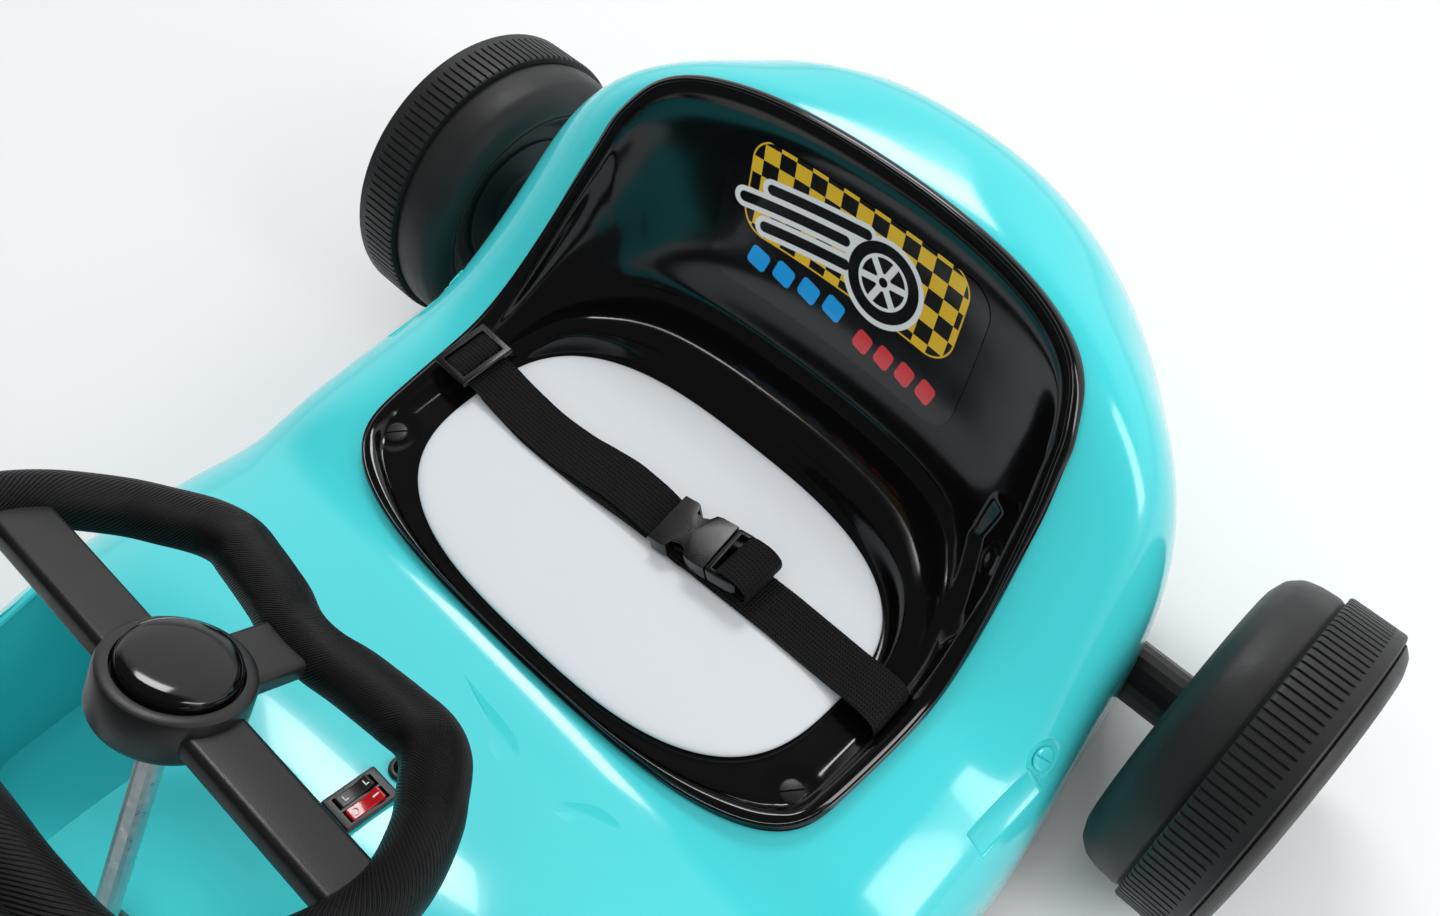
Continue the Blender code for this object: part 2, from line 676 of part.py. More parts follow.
def screw(name, seat, out, surface=SATIN_BLACK):
    """A slotted round-head screw on its seat, pointing out of it."""
    r, h = SCREW_HEAD_RADIUS, SCREW_HEAD_HEIGHT
    profile = ((-SCREW_SHANK_LENGTH, 0), (-SCREW_SHANK_LENGTH, SCREW_SHANK_RADIUS), (0, SCREW_SHANK_RADIUS),
               (0, r), (h * 0.6, r), (h, r * 0.75), (h, 0))
    made = piece(name, turned(profile, seat, out, 16), surface)
    slot = box((-r, -0.0007, -0.0011), (r, 0.0007, 0.0011))
    turn = Vector((0, 0, 1)).rotation_difference(out).to_matrix().to_4x4()
    spin = Matrix.Rotation(math.radians(50), 4, "Z")
    bmesh.ops.transform(slot, matrix=Matrix.Translation(seat + out * h) @ turn @ spin, verts=slot.verts)
    cut(made, slot)


def seat():
    seat_tub()
    seat_pad()
    height = seat_flange_height()
    for side, word in ((1, "left"), (-1, "right")):
        place = Vector((side * SEAT_SCREW[0], SEAT_SCREW[1], height + FIT))
        screw(f"seat_screw_{word}", place, Vector((0, 0, 1)))


def seat_flange_height():
    """Height of the tub's flange under the screw heads, from its rings."""
    near = sorted((p for ring in tub_rings()[2:] for p in ring if p.x > 0),
                  key=lambda p: math.hypot(p.x - SEAT_SCREW[0], p.y - SEAT_SCREW[1]))[:6]
    return max(p.z for p in near)


# Floor pan with its posts

def pan_outline(inset):
    nose, *between, tail = inner_stations(inset)
    left = [(float(half_width(y)) - inset, y) for y in [nose] + between[::2] + [tail]]
    return left + mirrored(left)


def floor_pan():
    outer = pan_outline(SHELL_WALL + PAN_GAP)
    middle = [Vector(p) for p in outer]
    inner = []
    for i, p in enumerate(middle):
        along = (middle[(i + 1) % len(middle)] - middle[i - 1]).normalized()
        inner.append(p + Vector((-along.y, along.x)) * PAN_LIP_WALL)
    rows = [[(x, y, PAN_BOTTOM) for x, y in outer], [(x, y, PAN_LIP_TOP) for x, y in outer],
            [(x, y, PAN_LIP_TOP) for x, y in inner], [(x, y, PAN_FLOOR) for x, y in inner]]
    pan = piece("floor_pan", loft(rows), SATIN_BLACK)
    top = seat_flange_height() - TUB_WALL - POST_GAP
    for side in (-1, 1):
        x, y = side * SEAT_SCREW[0], SEAT_SCREW[1]
        join(pan, rod(POST_RADIUS, (x, y, PAN_FLOOR - 0.002), (x, y, top), 12))
        cut(pan, rod(SCREW_SHANK_RADIUS + FIT, (x, y, top - 0.03), (x, y, top + 0.01), 12))


# Lap belt

def belt_path(side):
    """Webbing from its anchor under the tub, up through the slot and over the pad."""
    over = PAD_TOP + BELT_RISE
    slot = BELT_SLOT_X
    under = PAD_TOP - BELT_DROP
    path = [(slot - 0.030, under), (slot - 0.008, under), (slot - 0.0008, under + 0.003),
            (slot, under + 0.008), (slot, over - 0.0015), (slot - 0.002, over + 0.0028),
            (slot - 0.007, over + 0.0042), (slot - 0.016, over + 0.0030), (slot - 0.030, over + 0.0008),
            (0.100, over), (0.080, over)]
    if side > 0:
        end = SOCKET_START + SOCKET_LENGTH + TONGUE_BASE_LENGTH + 2 * FIT
        path += [(end + 0.012, over + 0.0015), (end + 0.006, BUCKLE_Z - 0.002), (end, BUCKLE_Z)]
        return path
    end = SOCKET_START - FIT
    path = [(-x, z) for x, z in path]
    path += [(-0.050, over), (-0.020, over + 0.0012), (end - 0.007, BUCKLE_Z - 0.0012), (end, BUCKLE_Z)]
    return path


def belt():
    piece("belt_left", strap(belt_path(1), WEB_WIDTH, WEB_THICKNESS, BELT_Y), WEBBING, 60)
    piece("belt_right", strap(belt_path(-1), WEB_WIDTH, WEB_THICKNESS, BELT_Y), WEBBING, 60)
    for side, word in ((1, "left"), (-1, "right")):
        x = side * (BELT_SLOT_X - ANCHOR_INSET)
        z = PAD_TOP - BELT_DROP - WEB_THICKNESS / 2 - FIT
        head = ((-0.0025, 0), (-0.0025, 0.0045), (0, 0.0055), (0, 0))
        piece(f"belt_anchor_{word}", turned(head, (x, BELT_Y, z), (0, 0, 1), 12), STEEL)
    height = PAD_TOP + SLIDE_RISE
    middle = -BELT_SLOT_X + SLIDE_INSET
    half = Vector(SLIDE_HALF)
    centre = Vector((middle, BELT_Y, height))
    plate = box(centre - half, centre + half, 0.0006)
    frame = piece("slide_adjuster", plate, SATIN_BLACK)
    for start in (middle - 0.0105, middle + 0.0015):
        cut(frame, box((start, BELT_Y - 0.0135, height - 0.01),
                       (start + 0.009, BELT_Y + 0.0135, height + 0.01)))


def buckle():
    """A socket with a hollow throat and notched sides, and a tongue with three prongs."""
    half = BUCKLE_WIDTH / 2
    low, high = BUCKLE_Z - BUCKLE_HEIGHT / 2, BUCKLE_Z + BUCKLE_HEIGHT / 2
    start, mouth = SOCKET_START, SOCKET_START + SOCKET_LENGTH
    body = box((start, BELT_Y - half, low), (mouth, BELT_Y + half, high), BUCKLE_EDGE)
    socket = piece("buckle_socket", body, SATIN_BLACK)
    wall = BUCKLE_WALL
    cut(socket, box((start + 0.006, BELT_Y - half + wall, low + wall),
                    (mouth + 0.01, BELT_Y + half - wall, high - wall)))
    for side in (-1, 1):
        edge = BELT_Y + side * half
        cut(socket, box((start + 0.009, edge - 0.005, low - 0.002),
                        (start + 0.018, edge + 0.005, high + 0.002), BUCKLE_EDGE))
    base = mouth + FIT
    body = box((base, BELT_Y - half, low), (base + TONGUE_BASE_LENGTH, BELT_Y + half, high), BUCKLE_EDGE)
    tongue = piece("buckle_tongue", body, SATIN_BLACK)
    bar = 0.0035
    cut(tongue, box((base + bar, BELT_Y - half + bar, low - 0.01),
                    (base + TONGUE_BASE_LENGTH - bar, BELT_Y + half - bar, high + 0.01)))
    inside = half - wall - RUN
    thin = BUCKLE_HEIGHT / 2 - wall - RUN
    reach = SOCKET_LENGTH - 0.0095
    join(tongue, box((base - reach, BELT_Y - 0.0035, BUCKLE_Z - thin),
                     (base + 0.002, BELT_Y + 0.0035, BUCKLE_Z + thin)))
    for side in (-1, 1):
        near, far = sorted((BELT_Y + side * inside, BELT_Y + side * (inside - 0.0045)))
        join(tongue, box((base - reach + 0.004, near, BUCKLE_Z - thin), (base + 0.002, far, BUCKLE_Z + thin)))


# Console panel: bezel, two rockers and the charging socket

def rocker(name, offset, surface):
    """A rocker across its own pin: its section is a shallow V on an arc."""
    place = panel_place(*BEZEL_CENTRE) @ Matrix.Translation((offset, 0, 0))
    place = place @ Matrix.Rotation(ROCKER_TILT, 4, "X")
    wide, long = ROCKER_SIZE[0] / 2 - RUN / 2, ROCKER_SIZE[1] / 2 - RUN
    section = [(-long, -0.002), (-long, 0.0040), (0, 0.0030), (long, 0.0040), (long, -0.002),
               (long * 0.5, -0.006), (-long * 0.5, -0.006)]
    turn = Matrix(((0, 0, 1, 0), (1, 0, 0, 0), (0, 1, 0, 0), (0, 0, 0, 1)))
    piece(name, prism(section, -wide, wide, place @ turn), surface)


def console():
    place = panel_place(*BEZEL_CENTRE)
    wide, long = BEZEL_SIZE[0] / 2, BEZEL_SIZE[1] / 2
    plate = box((-wide, -long, FIT + 0.0002), (wide, long, FIT + BEZEL_PLATE), 0.0007)
    bmesh.ops.transform(plate, matrix=place, verts=plate.verts)
    bezel = piece("switch_bezel", plate, SATIN_BLACK)
    inset = BEZEL_OVERLAP
    body = box((-wide + inset, -long + inset, -BEZEL_DEPTH), (wide - inset, long - inset, FIT + 0.001))
    bmesh.ops.transform(body, matrix=place, verts=body.verts)
    join(bezel, body)
    step = ROCKER_SIZE[0] / 2 + ROCKER_GAP
    for offset in (-step, step):
        window = box((offset - ROCKER_SIZE[0] / 2, -ROCKER_SIZE[1] / 2 - 0.0008, -BEZEL_DEPTH + 0.002),
                     (offset + ROCKER_SIZE[0] / 2, ROCKER_SIZE[1] / 2 + 0.0008, 0.02))
        bmesh.ops.transform(window, matrix=place, verts=window.verts)
        cut(bezel, window)
    rocker("speed_rocker", -step, GLOSS_BLACK)
    rocker("power_rocker", step, RED)
    place = panel_place(*CHARGE_SOCKET)
    r = CHARGE_RADIUS
    neck = r - CHARGE_OVERLAP
    profile = ((-0.010, 0), (-0.010, neck), (FIT + 0.0002, neck), (FIT + 0.0002, r), (0.0018, r),
               (0.0024, r - 0.001), (0.0024, r - 0.0028), (-0.004, r - 0.0035), (-0.004, 0))
    normal = place.to_3x3() @ Vector((0, 0, 1))
    piece("charge_socket", turned(profile, place.translation, normal, 20), SATIN_BLACK)


# Steering: wheel, horn button, column, bush, bracket, link and knuckles

def steer_place():
    """A frame at the hub: X to the driver's right, Y up the wheel's face, Z towards the driver."""
    turn = Matrix((Vector((-1, 0, 0)), -crank_direction(), steer_axis())).transposed().to_4x4()
    return Matrix.Translation(STEER_HUB) @ turn


def wheel_path():
    """Centre line of the rim: flat-topped, bowed sides, its foot rising to the middle spoke."""
    wide, below, above = WHEEL_SIZE
    half = [(0.000, -0.72 * below), (0.010, -0.78 * below), (0.022, -0.88 * below), (0.034, -0.96 * below),
            (0.046, -below), (0.058, -0.97 * below), (0.069, -0.87 * below), (0.082, -0.68 * below),
            (wide * 0.87, -0.46 * below), (wide * 0.97, -0.18 * below), (wide, 0.10 * above),
            (wide * 0.98, 0.45 * above), (wide * 0.90, 0.76 * above), (wide * 0.72, 0.96 * above),
            (wide * 0.45, above), (0.022, above)]
    return half + [(-x, y) for x, y in reversed(half[1:])]


def steering_wheel():
    path = wheel_path()
    sides = 8
    loops = []
    for i, (x, y) in enumerate(path):
        before, after = Vector(path[i - 1]), Vector(path[(i + 1) % len(path)])
        along = (after - before).normalized()
        out = Vector((along.y, -along.x))
        loop = []
        for k in range(sides):
            a = 2 * math.pi * k / sides
            r = WHEEL_RIM_RADIUS
            loop.append((x + out.x * r * math.cos(a), y + out.y * r * math.cos(a), r * 0.85 * math.sin(a)))
        loops.append(loop)
    bm = loft(loops + loops[:1], open_ends=True)
    bmesh.ops.remove_doubles(bm, verts=bm.verts, dist=1e-5)
    place = steer_place()
    bmesh.ops.transform(bm, matrix=place, verts=bm.verts)
    wheel = piece("steering_wheel", bm, SATIN_BLACK, 60)
    wide, below, above = WHEEL_SIZE
    cross_spoke = ((-wide, -0.011, -0.005), (wide, 0.013, 0.005))
    foot_spoke = ((-0.013, -0.72 * below, -0.0045), (0.013, 0, 0.0045))
    for low, high in (cross_spoke, foot_spoke):
        spoke = box(low, high, 0.002)
        bmesh.ops.transform(spoke, matrix=place, verts=spoke.verts)
        join(wheel, spoke)
    hub = HORN_RADIUS + HUB_WALL
    boss = ((-0.020, 0), (-0.020, 0.017), (-0.008, hub), (0.009, hub), (0.010, hub - 0.001), (0.010, 0))
    axis = steer_axis()
    join(wheel, turned(boss, STEER_HUB, axis, 28))
    cut(wheel, rod(HORN_RADIUS + RUN, STEER_HUB + axis * 0.004, STEER_HUB + axis * 0.03, 24))
    cut(wheel, rod(COLUMN_RADIUS + FIT, STEER_HUB - axis * 0.03, STEER_HUB, 16))
    profile = ((0.0047, 0), (0.0047, HORN_RADIUS), (0.011, HORN_RADIUS),
               (0.0135, HORN_RADIUS - 0.004), (0.0145, 0))
    piece("horn_button", turned(profile, STEER_HUB + axis * HORN_TRAVEL, axis, 24), GLOSS_BLACK)


def steering_column():
    """A steel rod with a crank and a pin at its foot, in one piece."""
    axis, crank = steer_axis(), crank_direction()
    foot = STEER_HUB - axis * COLUMN_LENGTH
    column = piece("steering_column", rod(COLUMN_RADIUS, foot - axis * 0.004, STEER_HUB - axis * FIT), STEEL)
    arm = box((-0.007, -0.007, -0.004), (0.007, CRANK + 0.007, 0.004), 0.001)
    turn = Matrix((Vector((-1, 0, 0)), crank, axis)).transposed().to_4x4()
    bmesh.ops.transform(arm, matrix=Matrix.Translation(foot) @ turn, verts=arm.verts)
    join(column, arm)
    pin = foot + crank * CRANK
    drop = (pin.z - (link_height() - 0.006)) / axis.z
    join(column, rod(CRANK_PIN_RADIUS, pin, pin - axis * drop, 12))
    far = column_exit()
    skin = STEER_HUB - axis * far
    bore = COLUMN_RADIUS + RUN
    ring = ((-0.014, bore), (-0.014, BUSH_RADIUS), (0.014, BUSH_RADIUS),
            (0.018, BUSH_RADIUS - 0.004), (0.018, bore))
    piece("column_bush", turned(ring, skin, axis, 20), SATIN_BLACK)


def column_bracket():
    """An arch on the floor pan that carries the column's foot; the link's tongue runs under it."""
    axis = steer_axis()
    centre = STEER_HUB - axis * (COLUMN_LENGTH - BRACKET_REACH)
    span, leg = 0.045, 0.008
    front, rear = centre.y - 0.011, centre.y + 0.011
    block = box((-span, front, centre.z - 0.014), (span, rear, centre.z + 0.014), 0.001)
    bracket = piece("column_bracket", block, SATIN_BLACK)
    for side in (-1, 1):
        low, high = sorted((side * span, side * (span - leg)))
        join(bracket, box((low, front, PAN_FLOOR + FIT), (high, rear, centre.z)))
    cut(bracket, rod(COLUMN_RADIUS + RUN, centre - axis * 0.04, centre + axis * 0.04))


def arm_bottom():
    return FRONT_RADIUS - KNUCKLE_BARREL_HEIGHT / 2 + FIT


def link_height():
    """Middle of the steering link, just under the knuckles' arms."""
    return arm_bottom() - RUN - LINK_THICKNESS / 2


def pin_row():
    """Where the crank's pin crosses the link at rest, and how far forward it moves at full lock."""
    axis = steer_axis()
    foot = STEER_HUB - axis * COLUMN_LENGTH + crank_direction() * CRANK
    y = foot.y - (foot.z - link_height()) * axis.y / axis.z
    reach = CRANK * (1 - math.cos(STEER_LIMIT)) / axis.z
    return y, reach


def steering_link():
    z = link_height()
    row = FRONT_AXLE_Y + KNUCKLE_ARM
    y, reach = pin_row()
    half = LINK_THICKNESS / 2
    bar = box((-KINGPIN_X, row - 0.006, z - half), (KINGPIN_X, row + 0.006, z + half), 0.0008)
    link = piece("steering_link", bar, STEEL)
    join(link, box((-0.012, row, z - half), (0.012, y + 0.018, z + half)))
    slot = CRANK_PIN_RADIUS + RUN
    long = CRANK_PIN_RADIUS / math.cos(STEER_RAKE) + half * math.tan(STEER_RAKE) + RUN
    cut(link, box((-slot, y - reach - long, z - 0.01), (slot, y + long, z + 0.01)))
    for side in (-1, 1):
        x = side * KINGPIN_X
        join(link, rod(LINK_EYE_RADIUS, (x, row, z - half), (x, row, z + half), 16))
        join(link, rod(ARM_PIN_RADIUS, (x, row, z), (x, row, arm_bottom() + ARM_THICKNESS + 0.004), 12))


def knuckle(side, word):
    """Barrel on the kingpin, a stub axle outwards and a slotted arm rearwards."""
    x, y, z = side * KINGPIN_X, FRONT_AXLE_Y, FRONT_RADIUS
    half = KNUCKLE_BARREL_HEIGHT / 2
    made = piece(f"knuckle_{word}", rod(KNUCKLE_BARREL_RADIUS, (x, y, z - half), (x, y, z + half), 20), SATIN_BLACK)
    outer = FRONT_WHEEL_INNER + FRONT_WHEEL_WIDTH - 0.006
    join(made, rod(AXLE_RADIUS, (x, y, z), (side * outer, y, z), 16))
    bottom = arm_bottom()
    tip = y + KNUCKLE_ARM
    arm = [(x - 0.008, y), (x + 0.008, y), (x + 0.008, tip + 0.006), (x + 0.004, tip + 0.011),
           (x - 0.004, tip + 0.011), (x - 0.008, tip + 0.006)]
    join(made, prism(arm, bottom, bottom + ARM_THICKNESS))
    slide = KNUCKLE_ARM * (1 / math.cos(KNUCKLE_LIMIT) - 1)
    slot = ARM_PIN_RADIUS + RUN
    cut(made, box((x - slot, tip - slot, bottom - 0.01), (x + slot, tip + slot + slide, bottom + 0.02)))
    cut(made, rod(KINGPIN_RADIUS + RUN, (x, y, z - 0.05), (x, y, z + 0.05), 16))


def front_axle():
    y, z = FRONT_AXLE_Y, FRONT_RADIUS
    fork_half = KNUCKLE_BARREL_HEIGHT / 2 + RUN
    front, rear = y - BEAM_DEPTH / 2, y + BEAM_DEPTH / 2
    bar = box((-BEAM_HALF, front, z - BEAM_HEIGHT / 2), (BEAM_HALF, rear, z + BEAM_HEIGHT / 2), 0.002)
    beam = piece("front_beam", bar, SATIN_BLACK)
    eye = fork_half + FORK_EYE_THICKNESS
    for side, word in ((1, "left"), (-1, "right")):
        near, far = sorted((side * (BEAM_HALF - 0.004), side * (BEAM_HALF + 0.008)))
        join(beam, box((near, front, z - eye), (far, rear, z + eye)))
        for sign in (-1, 1):
            low, high = sorted((z + sign * fork_half, z + sign * eye))
            near, far = sorted((side * BEAM_HALF, side * KINGPIN_X))
            join(beam, box((near, y - FORK_EYE_RADIUS, low), (far, y + FORK_EYE_RADIUS, high)))
            join(beam, rod(FORK_EYE_RADIUS, (side * KINGPIN_X, y, low), (side * KINGPIN_X, y, high), 20))
        post = side * BEAM_POST_X
        join(beam, box((post - 0.012, front + 0.001, PAN_FLOOR + FIT), (post + 0.012, rear - 0.001, z)))
        pin = side * KINGPIN_X
        cut(beam, rod(KINGPIN_RADIUS + FIT, (pin, y, z - 0.05), (pin, y, z + 0.05), 16))
        knuckle(side, word)
        head, tail = z + eye + FIT, z - eye - 0.003
        bolt = ((tail, 0), (tail, KINGPIN_RADIUS), (head, KINGPIN_RADIUS), (head, 0.0075),
                (head + 0.004, 0.0075), (head + 0.005, 0.006), (head + 0.005, 0))
        piece(f"kingpin_{word}", turned(bolt, (pin, y, 0), (0, 0, 1), 12), STEEL)


# Wheels

def wheel_profile(radius, width, band_start, band_width):
    """Section of a hollow-looking moulded wheel: dished both sides, with a seat for its band."""
    r, w = radius, width
    seat, shoulder = r - BAND_DEPTH, r - 0.0035
    bore = AXLE_RADIUS + RUN
    end = band_start + band_width
    return ((0.002, bore), (0.002, 0.020), (0.013, 0.024), (0.014, r - 0.034), (0.000, r - 0.021),
            (0.0035, r - 0.0115), (0.010, r - 0.0060), (band_start - 0.0015, shoulder), (band_start, seat),
            (end, seat), (end + 0.0010, shoulder), (w - 0.0030, r - 0.0080), (w, r - 0.0170),
            (w - 0.013, r - 0.030), (w - 0.014, 0.026), (w - HUB_FACE, 0.022), (w - HUB_FACE, bore))


def road_wheel(name, side, y, radius, inner, width, band_start, band_width):
    out = (side, 0, 0)
    origin = (side * inner, y, radius)
    section = wheel_profile(radius, width, band_start, band_width)
    piece(name, turned(section, origin, out, WHEEL_SIDES), SATIN_BLACK, 40)
    low, high = band_start + FIT, band_start + band_width - FIT
    seat = radius - BAND_DEPTH + FIT
    ring = ((low, seat), (low, radius - 0.0010), (low + 0.0012, radius), (high - 0.0012, radius),
            (high, radius - 0.0010), (high, seat))
    piece(name.replace("wheel", "tread"), turned(ring, origin, out, WHEEL_SIDES), SATIN_BLACK, 40)
    face = width - HUB_FACE
    start, stop = side * (inner + face + FIT), side * (inner + face + NUT_END)
    hexagon = rod(NUT_RADIUS, (start, y, radius), (stop, y, radius), 6)
    nut = piece(name.replace("wheel", "axle_nut"), hexagon, STEEL)
    cut(nut, rod(AXLE_RADIUS + FIT, (start - side * 0.01, y, radius), (stop + side * 0.01, y, radius), 16))


def hub_cap(name, side, y, radius, inner, width):
    """A thin dome that clips to the wheel's hub and covers the nut."""
    face = width - HUB_FACE
    out = (side, 0, 0)
    outer = [(face + FIT, 0.0210), (face + 0.0040, 0.0205), (face + 0.0085, 0.0140), (face + 0.0095, 0)]
    inside = [(face + 0.0072, 0), (face + 0.0068, 0.0115), (face + FIT, 0.0120)]
    origin = (side * inner, y, radius)
    piece(name, turned(inside + outer, origin, out, 16), GLOSS_BLACK, 40)


def wheels():
    for side, word in ((1, "left"), (-1, "right")):
        rear = (side, REAR_AXLE_Y, REAR_RADIUS, REAR_WHEEL_INNER, REAR_WHEEL_WIDTH)
        front = (side, FRONT_AXLE_Y, FRONT_RADIUS, FRONT_WHEEL_INNER, FRONT_WHEEL_WIDTH)
        road_wheel(f"rear_wheel_{word}", *rear, REAR_BAND_START, REAR_BAND_WIDTH)
        road_wheel(f"front_wheel_{word}", *front, FRONT_BAND_START, FRONT_BAND_WIDTH)
        hub_cap(f"rear_hub_cap_{word}", *rear)
        hub_cap(f"front_hub_cap_{word}", *front)


# Drive: fixed rear axle, a gearbox, motor and drive hub on each side, battery and control box

def gearbox(side, word):
    """A case round the axle and the motor's shaft, on a foot that stands on the floor pan."""
    axle = Vector((0, REAR_AXLE_Y, REAR_RADIUS))
    shaft = axle + MOTOR_OFFSET
    low, high = sorted((side * GEARBOX_INNER, side * (GEARBOX_INNER + GEARBOX_WIDTH)))
    case = rod(GEARBOX_RADIUS, (low, axle.y, axle.z), (high, axle.y, axle.z), 24)
    made = piece(f"gearbox_{word}", case, DARK_GREY)
    join(made, rod(GEARBOX_TOP_RADIUS, (low, shaft.y, shaft.z), (high, shaft.y, shaft.z), 20))
    along = MOTOR_OFFSET.normalized()
    across = Vector((0, -along.z, along.y))
    corners = [axle + across * 0.030, axle - across * 0.030, shaft - across * 0.022, shaft + across * 0.022]
    join(made, loft([[(low, c.y, c.z) for c in corners], [(high, c.y, c.z) for c in corners]]))
    join(made, box((low, axle.y - GEARBOX_FOOT_HALF, PAN_FLOOR + FIT),
                   (high, axle.y + GEARBOX_FOOT_HALF, axle.z - 0.02)))
    cut(made, rod(AXLE_RADIUS + FIT, (low - 0.01, axle.y, axle.z), (high + 0.01, axle.y, axle.z), 16))
    start = side * (GEARBOX_INNER - FIT)
    can = rod(MOTOR_RADIUS, (start, shaft.y, shaft.z), (start - side * MOTOR_LENGTH, shaft.y, shaft.z), 20)
    piece(f"motor_{word}", can, STEEL)


def drive():
    y, z = REAR_AXLE_Y, REAR_RADIUS
    end = REAR_WHEEL_INNER + REAR_WHEEL_WIDTH - HUB_FACE + NUT_END
    piece("rear_axle", rod(AXLE_RADIUS, (-end, y, z), (end, y, z), 16), STEEL)
    inner, outer = GEARBOX_INNER + GEARBOX_WIDTH + FIT, REAR_WHEEL_INNER + 0.002 - FIT
    bore = AXLE_RADIUS + RUN
    tube = ((inner, bore), (inner, DRIVE_HUB_RADIUS), (outer, DRIVE_HUB_RADIUS), (outer, bore))
    for side, word in ((1, "left"), (-1, "right")):
        gearbox(side, word)
        piece(f"drive_hub_{word}", turned(tube, (0, y, z), (side, 0, 0), 20), SATIN_BLACK)


def battery():
    """The battery under the seat, its strap, and the control box beside it."""
    wide, long, tall = BATTERY_SIZE
    floor = PAN_FLOOR + FIT
    block = box((-wide / 2, BATTERY_Y - long / 2, floor), (wide / 2, BATTERY_Y + long / 2, floor + tall), 0.002)
    piece("battery", block, DARK_GREY)
    thick = STRAP_THICKNESS
    side, top = wide / 2 + FIT, floor + tall + FIT
    right = [(side, top), (side, floor), (side + STRAP_FLANGE, floor), (side + STRAP_FLANGE, floor + thick),
             (side + thick, floor + thick), (side + thick, top + thick)]
    upright = Matrix(((1, 0, 0, 0), (0, 0, 1, 0), (0, 1, 0, 0), (0, 0, 0, 1)))
    half = STRAP_WIDTH / 2
    outline = right + mirrored(right)
    piece("battery_strap", prism(outline, BATTERY_Y - half, BATTERY_Y + half, upright), SATIN_BLACK)
    size, centre = CONTROL_BOX_SIZE, CONTROL_BOX_CENTRE
    case = box((centre[0] - size[0] / 2, centre[1] - size[1] / 2, floor),
               (centre[0] + size[0] / 2, centre[1] + size[1] / 2, floor + size[2]), 0.002)
    piece("control_box", case, SATIN_BLACK)


# Accelerator pedal on its bracket in the driver's right foot well

def pedal():
    pivot = PEDAL_PIVOT
    wide, long, thick = PEDAL_SIZE
    half = Vector((wide / 2, 0, 0))
    place = Matrix.Translation(pivot) @ Matrix.Rotation(-PEDAL_ANGLE, 4, "X")
    plate = box((-wide / 2, -long - 0.004, -thick / 2), (wide / 2, 0.004, thick / 2), 0.0012)
    bmesh.ops.transform(plate, matrix=place, verts=plate.verts)
    made = piece("accelerator_pedal", plate, SATIN_BLACK)
    join(made, rod(PEDAL_TUBE_RADIUS, pivot - half, pivot + half, 16))
    cut(made, rod(PEDAL_PIN_RADIUS + RUN, pivot - half * 2, pivot + half * 2, 12))
    inner = wide / 2 + RUN
    outer = inner + PEDAL_EAR
    bottom = WELL_FLOOR + FIT
    top = bottom + 0.003
    base = box((pivot.x - outer, pivot.y - 0.030, bottom), (pivot.x + outer, pivot.y + 0.012, top))
    bracket = piece("pedal_bracket", base, SATIN_BLACK)
    for side in (-1, 1):
        low, high = sorted((pivot.x + side * inner, pivot.x + side * outer))
        join(bracket, box((low, pivot.y - 0.008, top - 0.001), (high, pivot.y + 0.008, pivot.z + 0.008)))
    cut(bracket, rod(PEDAL_PIN_RADIUS + FIT, pivot - half * 2, pivot + half * 2, 12))
    reach = Vector((outer + 0.001, 0, 0))
    piece("pedal_pin", rod(PEDAL_PIN_RADIUS, pivot - reach, pivot + reach, 12), STEEL)


body_shell()
seat()
floor_pan()
for flank, flank_word in ((1, "left"), (-1, "right")):
    flank_seat, flank_out = flank_place(flank)
    screw(f"shell_screw_{flank_word}", flank_seat + flank_out * FLANK_SCREW_GAP, flank_out, TURQUOISE)
belt()
buckle()
console()
steering_wheel()
steering_column()
column_bracket()
steering_link()
front_axle()
wheels()
drive()
battery()
pedal()
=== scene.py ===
"""Look of the kids electric go-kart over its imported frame. Metres, +Z up, -Y towards the nose."""
import json
import math

import bpy
import numpy as np
from mathutils import Matrix, Vector
from mathutils.bvhtree import BVHTree


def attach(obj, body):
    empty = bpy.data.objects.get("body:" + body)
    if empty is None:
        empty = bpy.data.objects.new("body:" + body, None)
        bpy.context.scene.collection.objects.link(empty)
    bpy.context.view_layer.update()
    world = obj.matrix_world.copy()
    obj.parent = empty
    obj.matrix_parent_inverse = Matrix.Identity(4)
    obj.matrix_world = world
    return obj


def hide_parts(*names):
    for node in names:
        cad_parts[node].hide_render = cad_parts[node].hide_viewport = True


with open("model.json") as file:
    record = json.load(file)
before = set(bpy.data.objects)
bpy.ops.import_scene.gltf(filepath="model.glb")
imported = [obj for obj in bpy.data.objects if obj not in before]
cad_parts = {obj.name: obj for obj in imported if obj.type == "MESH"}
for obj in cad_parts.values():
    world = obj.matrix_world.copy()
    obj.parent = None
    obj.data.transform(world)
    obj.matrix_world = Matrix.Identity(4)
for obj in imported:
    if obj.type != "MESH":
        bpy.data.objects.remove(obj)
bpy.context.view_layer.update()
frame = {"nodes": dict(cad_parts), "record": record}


# Body shell. One glossy turquoise plastic moulding, 3 mm thick: a low cowl, a hump behind the seat,
# two foot wells with rolled edges, and holes for the seat, the column and the switches.

